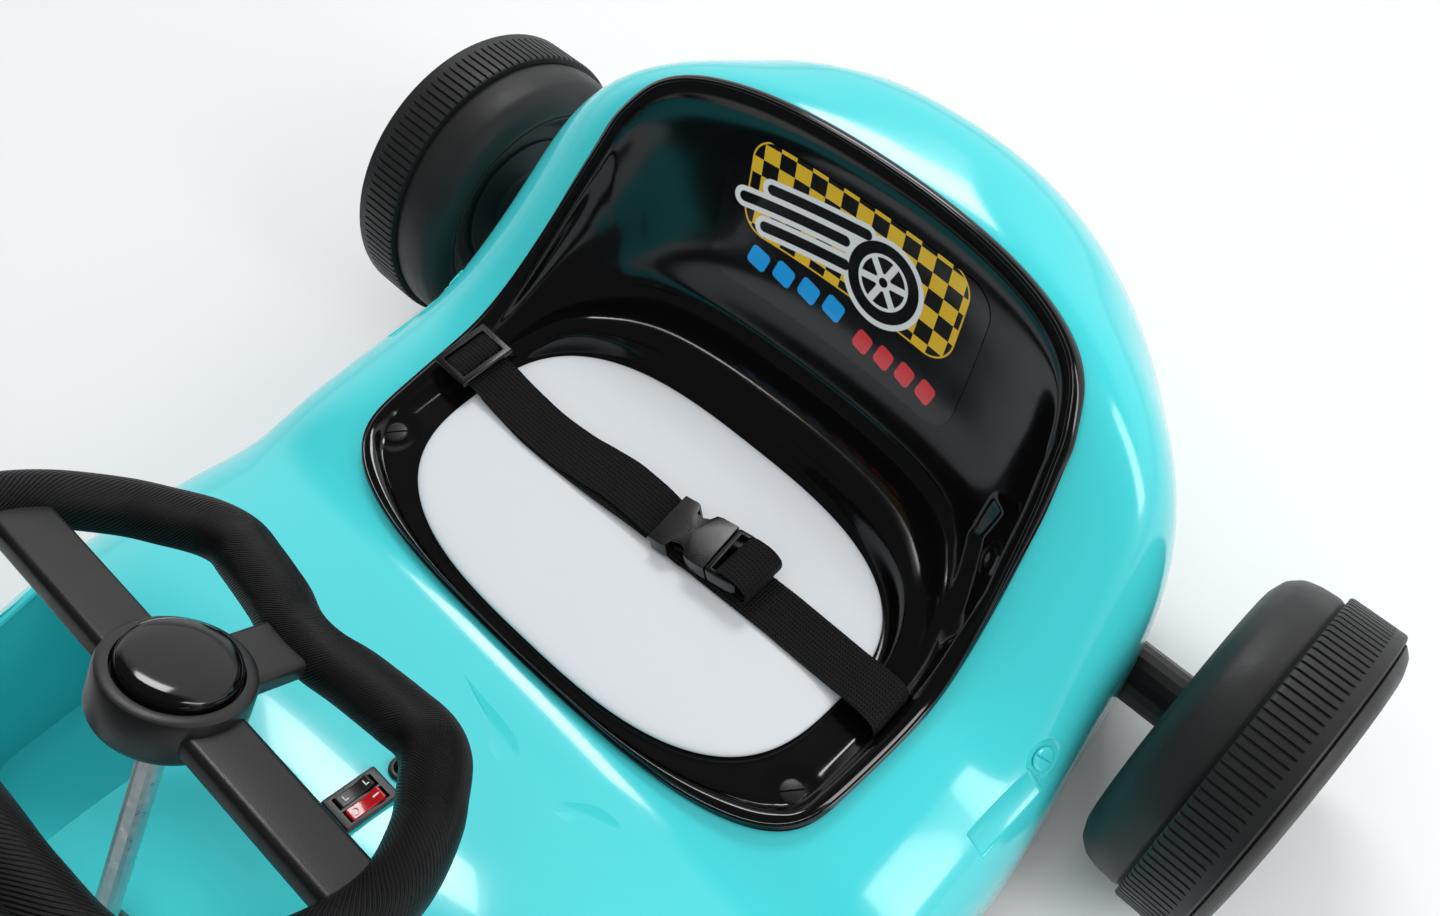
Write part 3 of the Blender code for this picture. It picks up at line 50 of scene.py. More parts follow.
def curve_through(knots, values):
    """A smooth curve through the values that doesn't overshoot them."""
    knots, values = np.array(knots, float), np.array(values, float)
    step = np.diff(knots)
    slope = np.diff(values) / step
    tangent = np.concatenate([[slope[0]], np.zeros(len(slope) - 1), [slope[-1]]])
    for i in range(1, len(slope)):
        if slope[i - 1] * slope[i] > 0:
            tangent[i] = 2 / (1 / slope[i - 1] + 1 / slope[i])

    def at(t):
        t = np.clip(t, knots[0], knots[-1])
        i = np.clip(np.searchsorted(knots, t) - 1, 0, len(step) - 1)
        h, u = step[i], (t - knots[i]) / step[i]
        return ((1 + 2 * u) * (1 - u) ** 2 * values[i] + u * (1 - u) ** 2 * h * tangent[i]
                + u * u * (3 - 2 * u) * values[i + 1] + u * u * (u - 1) * h * tangent[i + 1])
    return at


def levelled(curve, low, high, spread):
    """The curve with its small waves taken out between two stations."""
    span = np.arange(low - 0.1, high + 0.1, 0.001)
    values = np.array([float(curve(y)) for y in span])
    bell = np.exp(-0.5 * (np.arange(-60, 61) * 0.001 / spread) ** 2)
    calm = np.convolve(np.pad(values, 60, mode="edge"), bell / bell.sum(), mode="valid")
    share = np.clip(np.minimum(span - low, high - span) / 0.03, 0, 1)
    share = share * share * (3 - 2 * share)
    mixed = values + (calm - values) * share
    return lambda y: curve(y) if not span[0] < y < span[-1] else float(np.interp(y, span, mixed))


def ease(t):
    t = min(max(t, 0.0), 1.0)
    return t * t * (3 - 2 * t)


def select_only(piece):
    bpy.ops.object.select_all(action="DESELECT")
    piece.select_set(True)
    bpy.context.view_layer.objects.active = piece


def edit_all(piece, operator, **settings):
    """Run a mesh operator in edit mode on the whole piece."""
    select_only(piece)
    bpy.ops.object.mode_set(mode="EDIT")
    bpy.ops.mesh.select_all(action="SELECT")
    operator(**settings)
    bpy.ops.object.mode_set(mode="OBJECT")


seam_gap = 2e-6


def skin(name, rows, columns, place):
    """A grid of rows by columns faces laid out by place(share of the rows, share of the columns)."""
    bpy.ops.object.select_all(action="DESELECT")
    bpy.ops.mesh.primitive_grid_add(x_subdivisions=columns, y_subdivisions=rows, size=1)
    piece = bpy.context.object
    piece.name = piece.data.name = name
    for corner in piece.data.vertices:
        corner.co = place(corner.co.y + 0.5, corner.co.x + 0.5)
    edit_all(piece, bpy.ops.mesh.remove_doubles, threshold=seam_gap)
    edit_all(piece, bpy.ops.mesh.normals_make_consistent, inside=False)
    return piece


def modify(piece, kind, **settings):
    """Add a modifier, apply it and return the piece."""
    step = piece.modifiers.new(kind, kind)
    for setting, value in settings.items():
        setattr(step, setting, value)
    select_only(piece)
    bpy.ops.object.modifier_apply(modifier=step.name)
    return piece


def cut_out(piece, cutter, operation="DIFFERENCE"):
    modify(piece, "BOOLEAN", object=cutter, operation=operation, solver="EXACT")
    bpy.data.objects.remove(cutter)
    return piece


def block(name, low, high, edge=0.0, segments=3, place=None):
    """A box between two corners with rounded edges, turned by the matrix if one is given."""
    bpy.ops.object.select_all(action="DESELECT")
    bpy.ops.mesh.primitive_cube_add(size=1)
    piece = bpy.context.object
    piece.name = piece.data.name = name
    low, high = Vector(low), Vector(high)
    for corner in piece.data.vertices:
        corner.co = [(low[i] + high[i]) / 2 + corner.co[i] * (high[i] - low[i]) for i in range(3)]
    if edge:
        modify(piece, "BEVEL", width=edge, segments=segments, limit_method="NONE")
    if place is not None:
        piece.data.transform(place)
    return piece


def upright(origin, axis):
    """A frame at the origin whose Z runs along the axis."""
    turn = Vector((0, 0, 1)).rotation_difference(Vector(axis)).to_matrix().to_4x4()
    return Matrix.Translation(Vector(origin)) @ turn


def turning(name, profile, place, steps=64, closed=False):
    """A lathe form: the profile is (distance along the axis, radius)."""
    points = list(profile) + ([profile[0]] if closed else [])

    def at(row, column):
        along, radius = points[round(row * (len(points) - 1))]
        a = 2 * math.pi * column
        return place @ Vector((radius * math.cos(a), radius * math.sin(a), along))
    return skin(name, len(points) - 1, steps, at)


def prism(name, outline, bottom, top, place=None):
    """A straight-sided block on an outline."""
    loop = list(outline) + [outline[0]]
    middle = Vector((sum(p[0] for p in outline), sum(p[1] for p in outline))) / len(outline)
    place = place or Matrix.Identity(4)

    def at(row, column):
        x, y = loop[round(column * (len(loop) - 1))][:2]
        level = round(row * 3)
        if level in (0, 3):
            x, y = middle
        return place @ Vector((x, y, bottom if level < 2 else top))
    return skin(name, 3, len(loop) - 1, at)


def rounded(outline, radius, steps=6):
    """The outline with each corner replaced by an arc of the given radius."""
    points = []
    for i, corner in enumerate(outline):
        corner = Vector(corner)
        back = (Vector(outline[i - 1]) - corner).normalized()
        ahead = (Vector(outline[(i + 1) % len(outline)]) - corner).normalized()
        half = back.angle(ahead) / 2
        centre = corner + (back + ahead).normalized() * radius / math.sin(half)
        first = corner + back * radius / math.tan(half) - centre
        last = corner + ahead * radius / math.tan(half) - centre
        points += [centre + first.lerp(last, k / steps).normalized() * radius for k in range(steps + 1)]
    return points


def mirrored(outline):
    return [(-p[0], p[1]) for p in reversed(outline)]


def tube(name, path, radius, sides=12, closed=False):
    """A round bar along the path's points."""
    points = [Vector(p) for p in path] + ([Vector(path[0])] if closed else [])
    count = len(points)
    frames = []
    normal = None
    for i, p in enumerate(points):
        if closed:
            along = points[(i + 1) % (count - 1)] - points[(i - 1) % (count - 1)]
        else:
            along = points[min(i + 1, count - 1)] - points[max(i - 1, 0)]
        along.normalize()
        start = normal if normal is not None else Vector((0, 0, 1)).cross(along)
        normal = (start - along * start.dot(along)).normalized()
        frames.append((p, normal.copy(), along.cross(normal)))
    if closed:
        frames[-1] = frames[0]

    def at(row, column):
        p, side, over = frames[round(row * (count - 1))]
        a = 2 * math.pi * column
        return p + side * radius * math.cos(a) + over * radius * math.sin(a)
    return skin(name, count - 1, sides, at)


def merge_into(piece, *others):
    """Join other objects into the piece as one mesh."""
    select_only(piece)
    for other in others:
        other.select_set(True)
    bpy.ops.object.join()
    return piece


class Nodes:
    """A short hand for wiring the nodes of a material, or of the world."""

    def __init__(self, name, library=bpy.data.materials, shader="Principled BSDF"):
        self.material = library.new(name)
        self.material.use_nodes = True
        self.tree = self.material.node_tree
        self.shader = self.tree.nodes[shader]
        self.coords = self.tree.nodes.new("ShaderNodeTexCoord")

    def axes(self, source="Object"):
        """The X, Y and Z of a texture coordinate."""
        split = self.tree.nodes.new("ShaderNodeSeparateXYZ")
        self.put(split.inputs[0], self.coords.outputs[source])
        return split.outputs

    def put(self, socket, value):
        if isinstance(value, bpy.types.NodeSocket):
            self.tree.links.new(value, socket)
        else:
            socket.default_value = value

    def feed(self, word, value):
        """Set or wire one of the shader's own sockets."""
        self.put(self.shader.inputs[word], value)

    def noise(self, scale, detail=3.0):
        texture = self.tree.nodes.new("ShaderNodeTexNoise")
        texture.inputs["Scale"].default_value = scale
        texture.inputs["Detail"].default_value = detail
        self.put(texture.inputs["Vector"], self.coords.outputs["Object"])
        return texture.outputs["Fac"]

    def calc(self, operation, a, b=0.0, c=0.0):
        step = self.tree.nodes.new("ShaderNodeMath")
        step.operation = operation
        for socket, value in zip(step.inputs, (a, b, c)):
            self.put(socket, value)
        return step.outputs[0]

    def spread(self, value, low, high, start=0.0, end=1.0):
        step = self.tree.nodes.new("ShaderNodeMapRange")
        for word, number in (("From Min", start), ("From Max", end), ("To Min", low), ("To Max", high)):
            step.inputs[word].default_value = number
        self.put(step.inputs["Value"], value)
        return step.outputs["Result"]

    def blend(self, share, first, second):
        step = self.tree.nodes.new("ShaderNodeMix")
        step.data_type = "RGBA"
        self.put(step.inputs["Factor"], share)
        self.put(step.inputs["A"], first)
        self.put(step.inputs["B"], second)
        return step.outputs["Result"]

    def bump(self, height, strength, distance):
        step = self.tree.nodes.new("ShaderNodeBump")
        step.inputs["Strength"].default_value = strength
        step.inputs["Distance"].default_value = distance
        self.put(step.inputs["Height"], height)
        self.feed("Normal", step.outputs["Normal"])


coat_roughness = 0.04


def plastic(name, colour, roughness, wander=0.0, grain=0.0, grain_size=1500.0, coat=0.0, tint=0.04):
    """Moulded plastic: slight colour drift, roughness that wanders, a ripple, and a grain where asked."""
    n = Nodes(name)
    dark = (*[c * (1 - tint) for c in colour], 1)
    light = (*[min(c * (1 + tint), 1) for c in colour], 1)
    n.feed("Base Color", n.blend(n.noise(9.0, 2.0), dark, light))
    n.feed("Roughness", n.spread(n.noise(60.0), roughness - wander, roughness + wander, 0.3, 0.7))
    n.feed("Coat Weight", coat)
    n.feed("Coat Roughness", coat_roughness)
    height = n.noise(grain_size, 2.0) if grain else n.noise(14.0, 1.0)
    n.bump(height, grain if grain else 0.05, 0.0003 if grain else 0.002)
    return n.material


def dress(piece, material, smooth=None):
    """Give the piece its finish, and smooth its faces up to the given edge angle."""
    piece.data.materials.clear()
    piece.data.materials.append(material)
    if smooth is not None:
        select_only(piece)
        bpy.ops.object.shade_smooth_by_angle(angle=math.radians(smooth))
    return piece


def settle(piece, body, slot, *nodes):
    """Hand a finished piece to its body and hide the solids that it stands for. The slot is not used."""
    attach(piece, body)
    if nodes:
        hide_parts(*nodes)
    return piece


shell_plan = (
    (-0.485, 0.078, 2.4), (-0.47, 0.104, 2.5), (-0.44, 0.122, 2.6), (-0.38, 0.136, 2.8),
    (-0.3, 0.146, 3.0), (-0.2, 0.152, 3.1), (-0.13, 0.17, 3.2), (-0.06, 0.208, 3.2),
    (0.01, 0.225, 3.3), (0.1, 0.23, 3.6), (0.18, 0.229, 4.1), (0.236, 0.2275, 4.2),
    (0.285, 0.221, 4.2), (0.32, 0.2155, 4.2), (0.355, 0.211, 4.1), (0.386, 0.2, 3.4),
    (0.42, 0.18, 2.6), (0.45, 0.157, 2.35), (0.47, 0.14, 2.35), (0.485, 0.122, 2.35),
)
cowl_crown = (
    (-0.485, 0.082), (-0.47, 0.1), (-0.44, 0.114), (-0.38, 0.13), (-0.3, 0.15),
    (-0.2, 0.172), (-0.12, 0.187), (-0.06, 0.19), (0.0, 0.183), (0.04, 0.1745), (0.1, 0.15),
)
hump_crown = ((0.42, 0.281), (0.44, 0.273), (0.46, 0.247), (0.475, 0.216), (0.485, 0.18))
shell_base = 0.036
shell_wall = 0.003
shell_drop = 0.0032
end_round = 0.014

# the seat's rim, front middle to top middle: share of the way, y, z, half width
rim = (
    (0.0, 0.136, 0.139, 0.154), (0.25, 0.242, 0.144, 0.16), (0.5, 0.321, 0.21, 0.151),
    (0.75, 0.349, 0.246, 0.145), (1.0, 0.386, 0.284, 0.171),
)
rim_front_corner = (3.0, 0.12)
rim_top_corner = (2.14, 0.32)


def column_curve(table, column):
    """A curve through one column of a table, over its first column."""
    return curve_through([line[0] for line in table], [line[column] for line in table])


rim_y, rim_z, rim_width = (column_curve(rim, k) for k in (1, 2, 3))


def rim_point(share):
    """A point of the seat's rim on the driver's left, from front middle (0) to top middle (1)."""
    u = min(max(share / rim_front_corner[1], 0), 1)
    v = min(max((1 - share) / rim_top_corner[1], 0), 1)
    corner = ((1 - (1 - u) ** rim_front_corner[0]) ** (1 / rim_front_corner[0])
              * (1 - (1 - v) ** rim_top_corner[0]) ** (1 / rim_top_corner[0]))
    return Vector((float(rim_width(share) * corner), float(rim_y(share)), float(rim_z(share))))


shell_half, shell_square = (levelled(column_curve(shell_plan, k), -0.15, 0.44, 0.014) for k in (1, 2))
rim_stations = (0.0, 0.04, 0.08, 0.13, 0.18, 0.25, 0.33, 0.41, 0.5,
                0.6, 0.7, 0.76, 0.82, 0.86, 0.9, 0.94, 0.97, 1.0)
beside_seat = []
for share in rim_stations:
    p = rim_point(share)
    power = shell_square(p.y)
    fall = (1 - (p.x / shell_half(p.y)) ** power) ** (1 / power)
    beside_seat.append((p.y, shell_base + (p.z - shell_drop - shell_base) / fall))
shell_crown = levelled(column_curve(list(cowl_crown) + beside_seat + list(hump_crown), 1), 0.06, 0.425, 0.009)


def shell_height(x, y):
    power = shell_square(y)
    return float(shell_base + (shell_crown(y) - shell_base)
                 * max(1 - (abs(x) / shell_half(y)) ** power, 0) ** (1 / power))


def shell_form(name, wall, below, rows, columns):
    """The shell's outside, or the space inside it when a wall is given, as a closed body."""
    ys = np.linspace(shell_plan[0][0] + wall, shell_plan[-1][0] - wall, 900)
    run = np.hypot(np.diff(ys), np.diff([shell_crown(y) for y in ys]))
    seat_share = np.where((ys[1:] > 0.1) & (ys[1:] < 0.4), 1.6, 1.0)
    weight = seat_share * np.where(np.abs(ys[1:]) > 0.455, 3.0, 1.0)
    length = np.concatenate([[0], np.cumsum(run * weight)])
    stations = np.interp(np.linspace(0, length[-1], rows - 1), length, ys)

    def at(row, column):
        index = round(row * rows)
        pole = index in (0, rows)
        y = stations[min(max(index - 1, 0), rows - 2)]
        reach = min(y - ys[0], ys[-1] - y, end_round)
        tuck = wall + end_round - math.sqrt(max(end_round ** 2 - (end_round - reach) ** 2, 0))
        wide, tall = shell_half(y) - tuck, shell_crown(y) - shell_base - tuck
        power = shell_square(y)
        if pole:
            return Vector((0, y, shell_base + 0.45 * tall))
        step = round(column * columns)
        if step in (0, columns):
            return Vector((0, y, shell_base - below))
        if step in (1, columns - 1):
            return Vector((wide if step == 1 else -wide, y, shell_base - below))
        a = math.pi * (step - 2) / (columns - 4)
        across, up = math.cos(a), math.sin(a)
        reach = (abs(across) ** power + abs(up) ** power) ** (-1 / power)
        return Vector((wide * across * reach, y, shell_base + tall * up * reach))
    return skin(name, rows, columns, at)


steer_hub = Vector((0.0, 0.01, 0.306))
steer_rake = math.radians(35)
steer_axis = Vector((0, math.sin(steer_rake), math.cos(steer_rake)))
crank_down = Vector((0, math.cos(steer_rake), -math.sin(steer_rake)))
rear_axle_y, rear_radius = 0.358, 0.092
front_axle_y, front_radius = -0.265, 0.08
well_outline = ((0.052, 0.02), (0.186, 0.02), (0.186, -0.07),
                (0.136, -0.14), (0.136, -0.19), (0.052, -0.19))
well_floor = 0.048
well_corner = 0.018


def panel_place(x, y):
    """A frame on the cowl's skin at (x, y): its Z is the skin's normal."""
    span = 0.006
    slope_x = (shell_height(x + span, y) - shell_height(x - span, y)) / (2 * span)
    slope_y = (shell_height(x, y + span) - shell_height(x, y - span)) / (2 * span)
    normal = Vector((-slope_x, -slope_y, 1)).normalized()
    across = Vector((1, 0, slope_x)).normalized()
    turn = Matrix((across, normal.cross(across), normal)).transposed().to_4x4()
    return Matrix.Translation((x, y, shell_height(x, y))) @ turn


def flank_half(y, z):
    power = shell_square(y)
    rise = (z - shell_base) / (shell_crown(y) - shell_base)
    return float(shell_half(y) * (1 - rise ** power) ** (1 / power))


def flank_place(side, y=0.2733, z=0.127):
    span = 0.005
    along = (flank_half(y + span, z) - flank_half(y - span, z)) / (2 * span)
    rise = (flank_half(y, z + span) - flank_half(y, z - span)) / (2 * span)
    return upright((side * flank_half(y, z), y, z), (side, -along, -rise))


bezel_place = panel_place(0.0192, 0.039)
charge_place = panel_place(0.0185, 0.0608)

shell = shell_form("kart_shell", 0, 0.002, 220, 148)
hollow = shell_form("shell_hollow", shell_wall, 0.012, 110, 84)
well = rounded(well_outline, well_corner)
wide_well = rounded([(x + math.copysign(shell_wall, x - 0.1), y + math.copysign(shell_wall, y + 0.085))
                     for x, y in well_outline], well_corner + shell_wall)
for outline in (wide_well, mirrored(wide_well)):
    cut_out(hollow, prism("well_wall", outline, well_floor - shell_wall, 0.5))
for outline in (well, mirrored(well)):
    cut_out(shell, prism("well_space", outline, well_floor, 0.5))
cut_out(shell, hollow)


def rim_loop(steps):
    """The whole rim as a closed loop of points, closer together at its two ends."""
    left = [rim_point(0.5 * (1 - math.cos(math.pi * k / steps))) for k in range(steps + 1)]
    return left + [Vector((-p.x, p.y, p.z)) for p in reversed(left[1:-1])]


rim_ring = rim_loop(60)
seat_hole = []
for i, p in enumerate(rim_ring):
    along = rim_ring[(i + 1) % len(rim_ring)] - rim_ring[i - 1]
    seat_hole.append(p + Vector((-along.y, along.x, 0)).normalized() * 0.0012)
cut_out(shell, prism("seat_space", seat_hole, 0.0, 0.5))

column_far = 0.0
while (steer_hub - steer_axis * column_far).z > shell_height(0, (steer_hub - steer_axis * column_far).y):
    column_far += 0.0005
column_foot = steer_hub - steer_axis * column_far


def bored(name, low, high, radius, place, steps):
    """Drill the shell along the place's Z, from low to high."""
    cut_out(shell, turning(name, ((low, 0), (low, radius), (high, radius), (high, 0)), place, steps))


bored("column_space", -0.03, 0.03, 0.0134, upright(column_foot, steer_axis), 48)
cut_out(shell, block("bezel_space", (-0.00815, -0.0124, -0.02), (0.00815, 0.0124, 0.02), place=bezel_place))
bored("socket_space", -0.02, 0.02, 0.0057, charge_place, 32)
for side in (-1, 1):
    bored("axle_space", 0.1, 0.3, 0.019, upright((0, rear_axle_y, rear_radius), (side, 0, 0)), 48)
    low, high = sorted((side * 0.1, side * 0.3))
    cut_out(shell, block("arm_space", (low, -0.295, 0), (high, -0.199, 0.114), 0.012, 4))
    dimple = ((-0.0014, 0), (-0.0014, 0.0088), (0.0006, 0.0108), (0.02, 0.0108), (0.02, 0))
    cut_out(shell, turning("screw_space", dimple, flank_place(side), 48))
    low_place = flank_place(side, 0.2445, 0.1175)
    recess = block("flank_recess", (-0.0085, -0.022, -0.0016), (0.0085, 0.022, 0.02), 0.0015, 3, low_place)
    cut_out(shell, recess)

rolled = []
for side in (-1, 1):
    edge = [(side * x, y, shell_height(x, y) - 0.0006) for x, y in rounded(well_outline, well_corner, 8)]
    rolled.append(tube(f"well_edge_{side}", edge, 0.0024, 10, closed=True))

relief_height, relief_rings, relief_steps = 0.0007, 10, 240


def raised(name, outline):
    """A low form pressed up out of the cowl: its edge sinks just under the skin."""
    corners = [Vector(p) for p in outline]
    middle = sum(corners, Vector((0, 0))) / len(corners)
    lengths = [0.0]
    for a, b in zip(corners, corners[1:] + corners[:1]):
        lengths.append(lengths[-1] + (b - a).length)
    edge = [curve_through(lengths, [c[k] for c in corners + corners[:1]]) for k in (0, 1)]

    def at(row, column):
        index = round(row * (relief_rings + 2))
        closing = index == relief_rings + 2
        share = min(index / relief_rings, 1.0)
        on_edge = Vector([float(e(column * lengths[-1])) for e in edge])
        spot = middle if closing else middle.lerp(on_edge, share)
        rise = relief_height * (1 - share ** 2) ** 1.5 - 0.0001 - (0.004 if closing else 0.0)
        return Vector((spot.x, spot.y, shell_height(spot.x, spot.y) + rise))
    return skin(name, relief_rings + 2, relief_steps, at)


tear = ((-0.0144, 0.1138), (0.002, 0.1122), (0.02, 0.111), (0.033, 0.109), (0.041, 0.1055),
        (0.0465, 0.099), (0.0463, 0.0953), (0.0425, 0.093), (0.037, 0.0925), (0.03, 0.0955),
        (0.02, 0.1015), (0.006, 0.1085))
scoop_mark = ((0.07, 0.0935), (0.079, 0.095), (0.093, 0.105), (0.0995, 0.1125), (0.095, 0.115),
              (0.084, 0.1135), (0.074, 0.106), (0.069, 0.0985))
merge_into(shell, *rolled, raised("cowl_tear", tear), raised("cowl_scoop", scoop_mark))
turquoise = plastic("turquoise_shell_plastic", (0.065, 0.7, 0.74), 0.17, 0.02, coat=0.3, tint=0.02)
dress(shell, turquoise, 32)
settle(shell, "chassis", "turquoise_plastic", "body_shell")


# Seat tub. A thin glossy black bucket with a rolled lip over the shell's edge, a roll behind the pad,
# a scooped backrest and a pocket with a screw boss on the driver's left. It is screwed to the pan's posts.

pad_centre, pad_half = 0.221, (0.126, 0.078)
pad_square, pad_top, pad_thick, pad_tilt = 2.85, 0.147, 0.006, math.radians(2)
tub_floor = pad_thick + 0.0004
lip_height, lip_width, scoop = 0.0055, 0.01, 0.006
# shares of the lip's width and height, then shares of the way to the pad's edge with the roll's height there
lip_form = ((0.03, 0.45), (0.18, 0.85), (0.42, 1.0), (0.72, 0.82))
roll_form = ((0.53, 0.0125), (0.65, 0.016975), (0.84, 0.0175), (0.935, 0.0105))
screw_x, screw_y, dimple_depth = 0.139, 0.177, 0.0008
belt_slot_x = 0.1485


def pad_surface(y, depth=0.0):
    return pad_top - math.tan(pad_tilt) * (y - pad_centre) - depth


def pad_edge(toward, grow=0.0):
    a, b = pad_half[0] + grow, pad_half[1] + grow
    x, y = toward[0], toward[1] - pad_centre
    reach = (abs(x / a) ** pad_square + abs(y / b) ** pad_square) ** (1 / pad_square)
    return Vector((x / reach, pad_centre + y / reach, 0))


def tub_ribs(p, inward):
    """Points of the tub's upper skin from the lip's foot at p to the pad's edge and its middle."""
    q = pad_edge(p, 0.004)
    rear = ease((p.y - 0.235) / 0.075)
    floor = pad_surface(q.y, tub_floor)
    lip = min(lip_width, 0.45 * (q - p).to_2d().length)
    inner = p + inward * lip + Vector((0, 0, lip_height * 0.35))
    roll = []
    for share, height in roll_form:
        roll.append(p.lerp(q, share))
        roll[-1].z = floor + height * rear
    rise = Vector((0, 0, 1))
    points = [p] + [p + inward * lip * across + rise * lip_height * up for across, up in lip_form] + [inner]
    for share in (0.25, 0.5, 0.75):
        points.append(inner.lerp(roll[0], share) - inward * scoop * rear * math.sin(math.pi * share))
    under_pad = Vector((q.x * 0.9, pad_centre + (q.y - pad_centre) * 0.9, floor))
    return points + roll + [Vector((q.x, q.y, floor)), under_pad]


pocket_middle = Vector((0.1335, 0.303, 0.18))
pocket_up = Vector((-0.143, 0.714, 0.685)).normalized()
pocket_in = Vector((-0.54, -0.65, 0.5)).normalized()
pocket_across = pocket_in.cross(pocket_up).normalized()
pocket_outline = rounded(((0.036, -0.012), (0.03, 0.016), (0.006, 0.026), (-0.03, 0.008), (-0.044, -0.01),
                          (-0.006, -0.0165)), 0.0055, 5)
pocket_depth, pocket_wall = 0.0045, 0.01


def depth_in(outline, point):
    """How far the point lies inside the outline, below zero outside it."""
    inside, nearest = False, 1e9
    point = Vector(point)
    for i, b in enumerate(outline):
        a, b = Vector(outline[i - 1]), Vector(b)
        side = b - a
        t = min(max((point - a).dot(side) / side.dot(side), 0), 1)
        nearest = min(nearest, (a + side * t - point).length)
        if (a.y > point.y) != (b.y > point.y):
            crossing = (b.x - a.x) * (point.y - a.y) / (b.y - a.y) + a.x
            inside = inside != (point.x < crossing)
    return nearest if inside else -nearest


def tub_detail(p):
    """The pocket with its boss and the screws' dimples, pressed into the tub's skin."""
    q = p - pocket_middle
    if p.x > 0 and q.length < 0.06:
        a, b = q.dot(pocket_up), q.dot(pocket_across)
        press = pocket_depth * ease((depth_in(pocket_outline, (a, b)) + 0.002) / pocket_wall)
        boss = math.hypot(a - 0.002, b - 0.004)
        press -= 0.0012 * ease((0.0105 - boss) / 0.006) - 0.0006 * ease((0.0055 - boss) / 0.005)
        p = p - pocket_in * press
    for x in (-screw_x, screw_x):
        away = math.hypot(p.x - x, p.y - screw_y)
        p = p - Vector((0, 0, dimple_depth * ease((0.0135 - away) / 0.006)))
    return p


tub_columns, tub_rows = 400, 100
tub_rim = rim_loop(tub_columns // 2)
tub_lines = []
for i, p in enumerate(tub_rim):
    along = tub_rim[(i + 1) % tub_columns] - tub_rim[i - 1]
    ribs = tub_ribs(p, Vector((-along.y, along.x, 0)).normalized())
    gaps = np.array([max((b - a).length, 5e-4) for a, b in zip(ribs, ribs[1:])])
    knots = np.concatenate([[0], np.cumsum(gaps ** 0.75)])
    curves = [curve_through(knots, [r[c] for r in ribs]) for c in range(3)]
    where = np.linspace(0, knots[-1], tub_rows)
    tub_lines.append([[float(c(w)) for c in curves] for w in where])
tub_lines = np.array(tub_lines)
smoothing_rounds = 26
for _ in range(smoothing_rounds):
    calm = tub_lines.copy()
    calm[:, 1:-1] = (tub_lines[:, :-2] + 2 * tub_lines[:, 1:-1] + tub_lines[:, 2:]) / 4
    calm[:, 1:-1] = (np.roll(calm, 1, 0) + 2 * calm + np.roll(calm, -1, 0))[:, 1:-1] / 4
    tub_lines = calm
lip_row = 3 + int(np.argmax((tub_lines[:, 3:24, 2] - tub_lines[:, :1, 2]).mean(axis=0)))
lip_path = [Vector(p) - Vector((0, 0, 0.0002)) for p in tub_lines[::2, lip_row]]
tub_lines = [[tub_detail(Vector(p)) for p in line] for line in tub_lines]


def tub_at(row, column):
    index = round(row * tub_rows)
    if index == tub_rows:
        return Vector((0, pad_centre, pad_surface(pad_centre, tub_floor)))
    return tub_lines[round(column * tub_columns) % tub_columns][index]


tub = skin("seat_bucket", tub_rows, tub_columns, tub_at)
tub_surface = BVHTree.FromObject(tub, bpy.context.evaluated_depsgraph_get())
if sum(f.normal.z * f.area for f in tub.data.polygons) < 0:
    edit_all(tub, bpy.ops.mesh.flip_normals)
modify(tub, "SOLIDIFY", thickness=0.002, offset=-1)
for x in (-belt_slot_x, belt_slot_x):
    cut_out(tub, block("belt_slot", (x - 0.0022, 0.219, 0.12), (x + 0.0022, 0.247, 0.17), 0.001, 2))
merge_into(tub, tube("lip_bead", lip_path, 0.0011, 12, closed=True))
gloss_black = plastic("gloss_black_plastic", (0.003, 0.003, 0.0033), 0.11, 0.015, coat=0.0, tint=0.1)
dress(tub, gloss_black, 40)
settle(tub, "chassis", "gloss_black_plastic", "seat_tub")


# Seat pad. A thin pale grey foam pad with a matte skin, cut to a rounded outline and glued to the tub.

# inset from the pad's edge and depth under its top, from the underside round to the middle
pad_profile = ((-0.002, 0.0058), (-0.0006, 0.0045), (0.0, 0.003), (-0.0003, 0.002), (-0.0012, 0.0011),
               (-0.003, 0.0004), (-0.006, 0.0), (-0.014, -0.0002), (-0.03, -0.0003), (-0.05, -0.0004))


def pad_at(row, column):
    index = round(row * (len(pad_profile) + 1))
    if index in (0, len(pad_profile) + 1):
        return Vector((0, pad_centre, pad_surface(pad_centre, 0.0058 if index == 0 else -0.0004)))
    inset, depth = pad_profile[index - 1]
    a = 2 * math.pi * column
    p = pad_edge((pad_half[0] * math.cos(a), pad_centre + pad_half[1] * math.sin(a)), inset)
    return Vector((p.x, p.y, pad_surface(p.y, depth)))


pad = skin("seat_cushion", len(pad_profile) + 1, 128, pad_at)
modify(pad, "SUBSURF", levels=1, render_levels=1)
n = Nodes("pale_matte_pad")
pad_dark, pad_light = (0.665, 0.7, 0.735, 1), (0.685, 0.72, 0.755, 1)
n.feed("Base Color", n.blend(n.noise(11.0, 2.0), pad_dark, pad_light))
n.feed("Roughness", n.spread(n.noise(200.0), 0.52, 0.66, 0.3, 0.7))
n.feed("Sheen Weight", 0.05)
n.bump(n.noise(2600.0, 3.0), 0.22, 0.0002)
dress(pad, n.material, 60)
settle(pad, "chassis", "pale_pad", "seat_pad")


# Slotted screws. Round-headed screws: two black ones hold the tub and a turquoise one on each flank holds the
# shell.

satin_black = plastic("satin_black_plastic", (0.008, 0.008, 0.0085), 0.38, 0.05, grain=0.2, tint=0.08)
screw_profile = ((-0.016, 0), (-0.016, 0.002), (0.0, 0.002), (0.0, 0.0057), (0.0006, 0.006), (0.001, 0.0059),
                 (0.0013, 0.0055), (0.0015, 0.0046), (0.0016, 0.0))


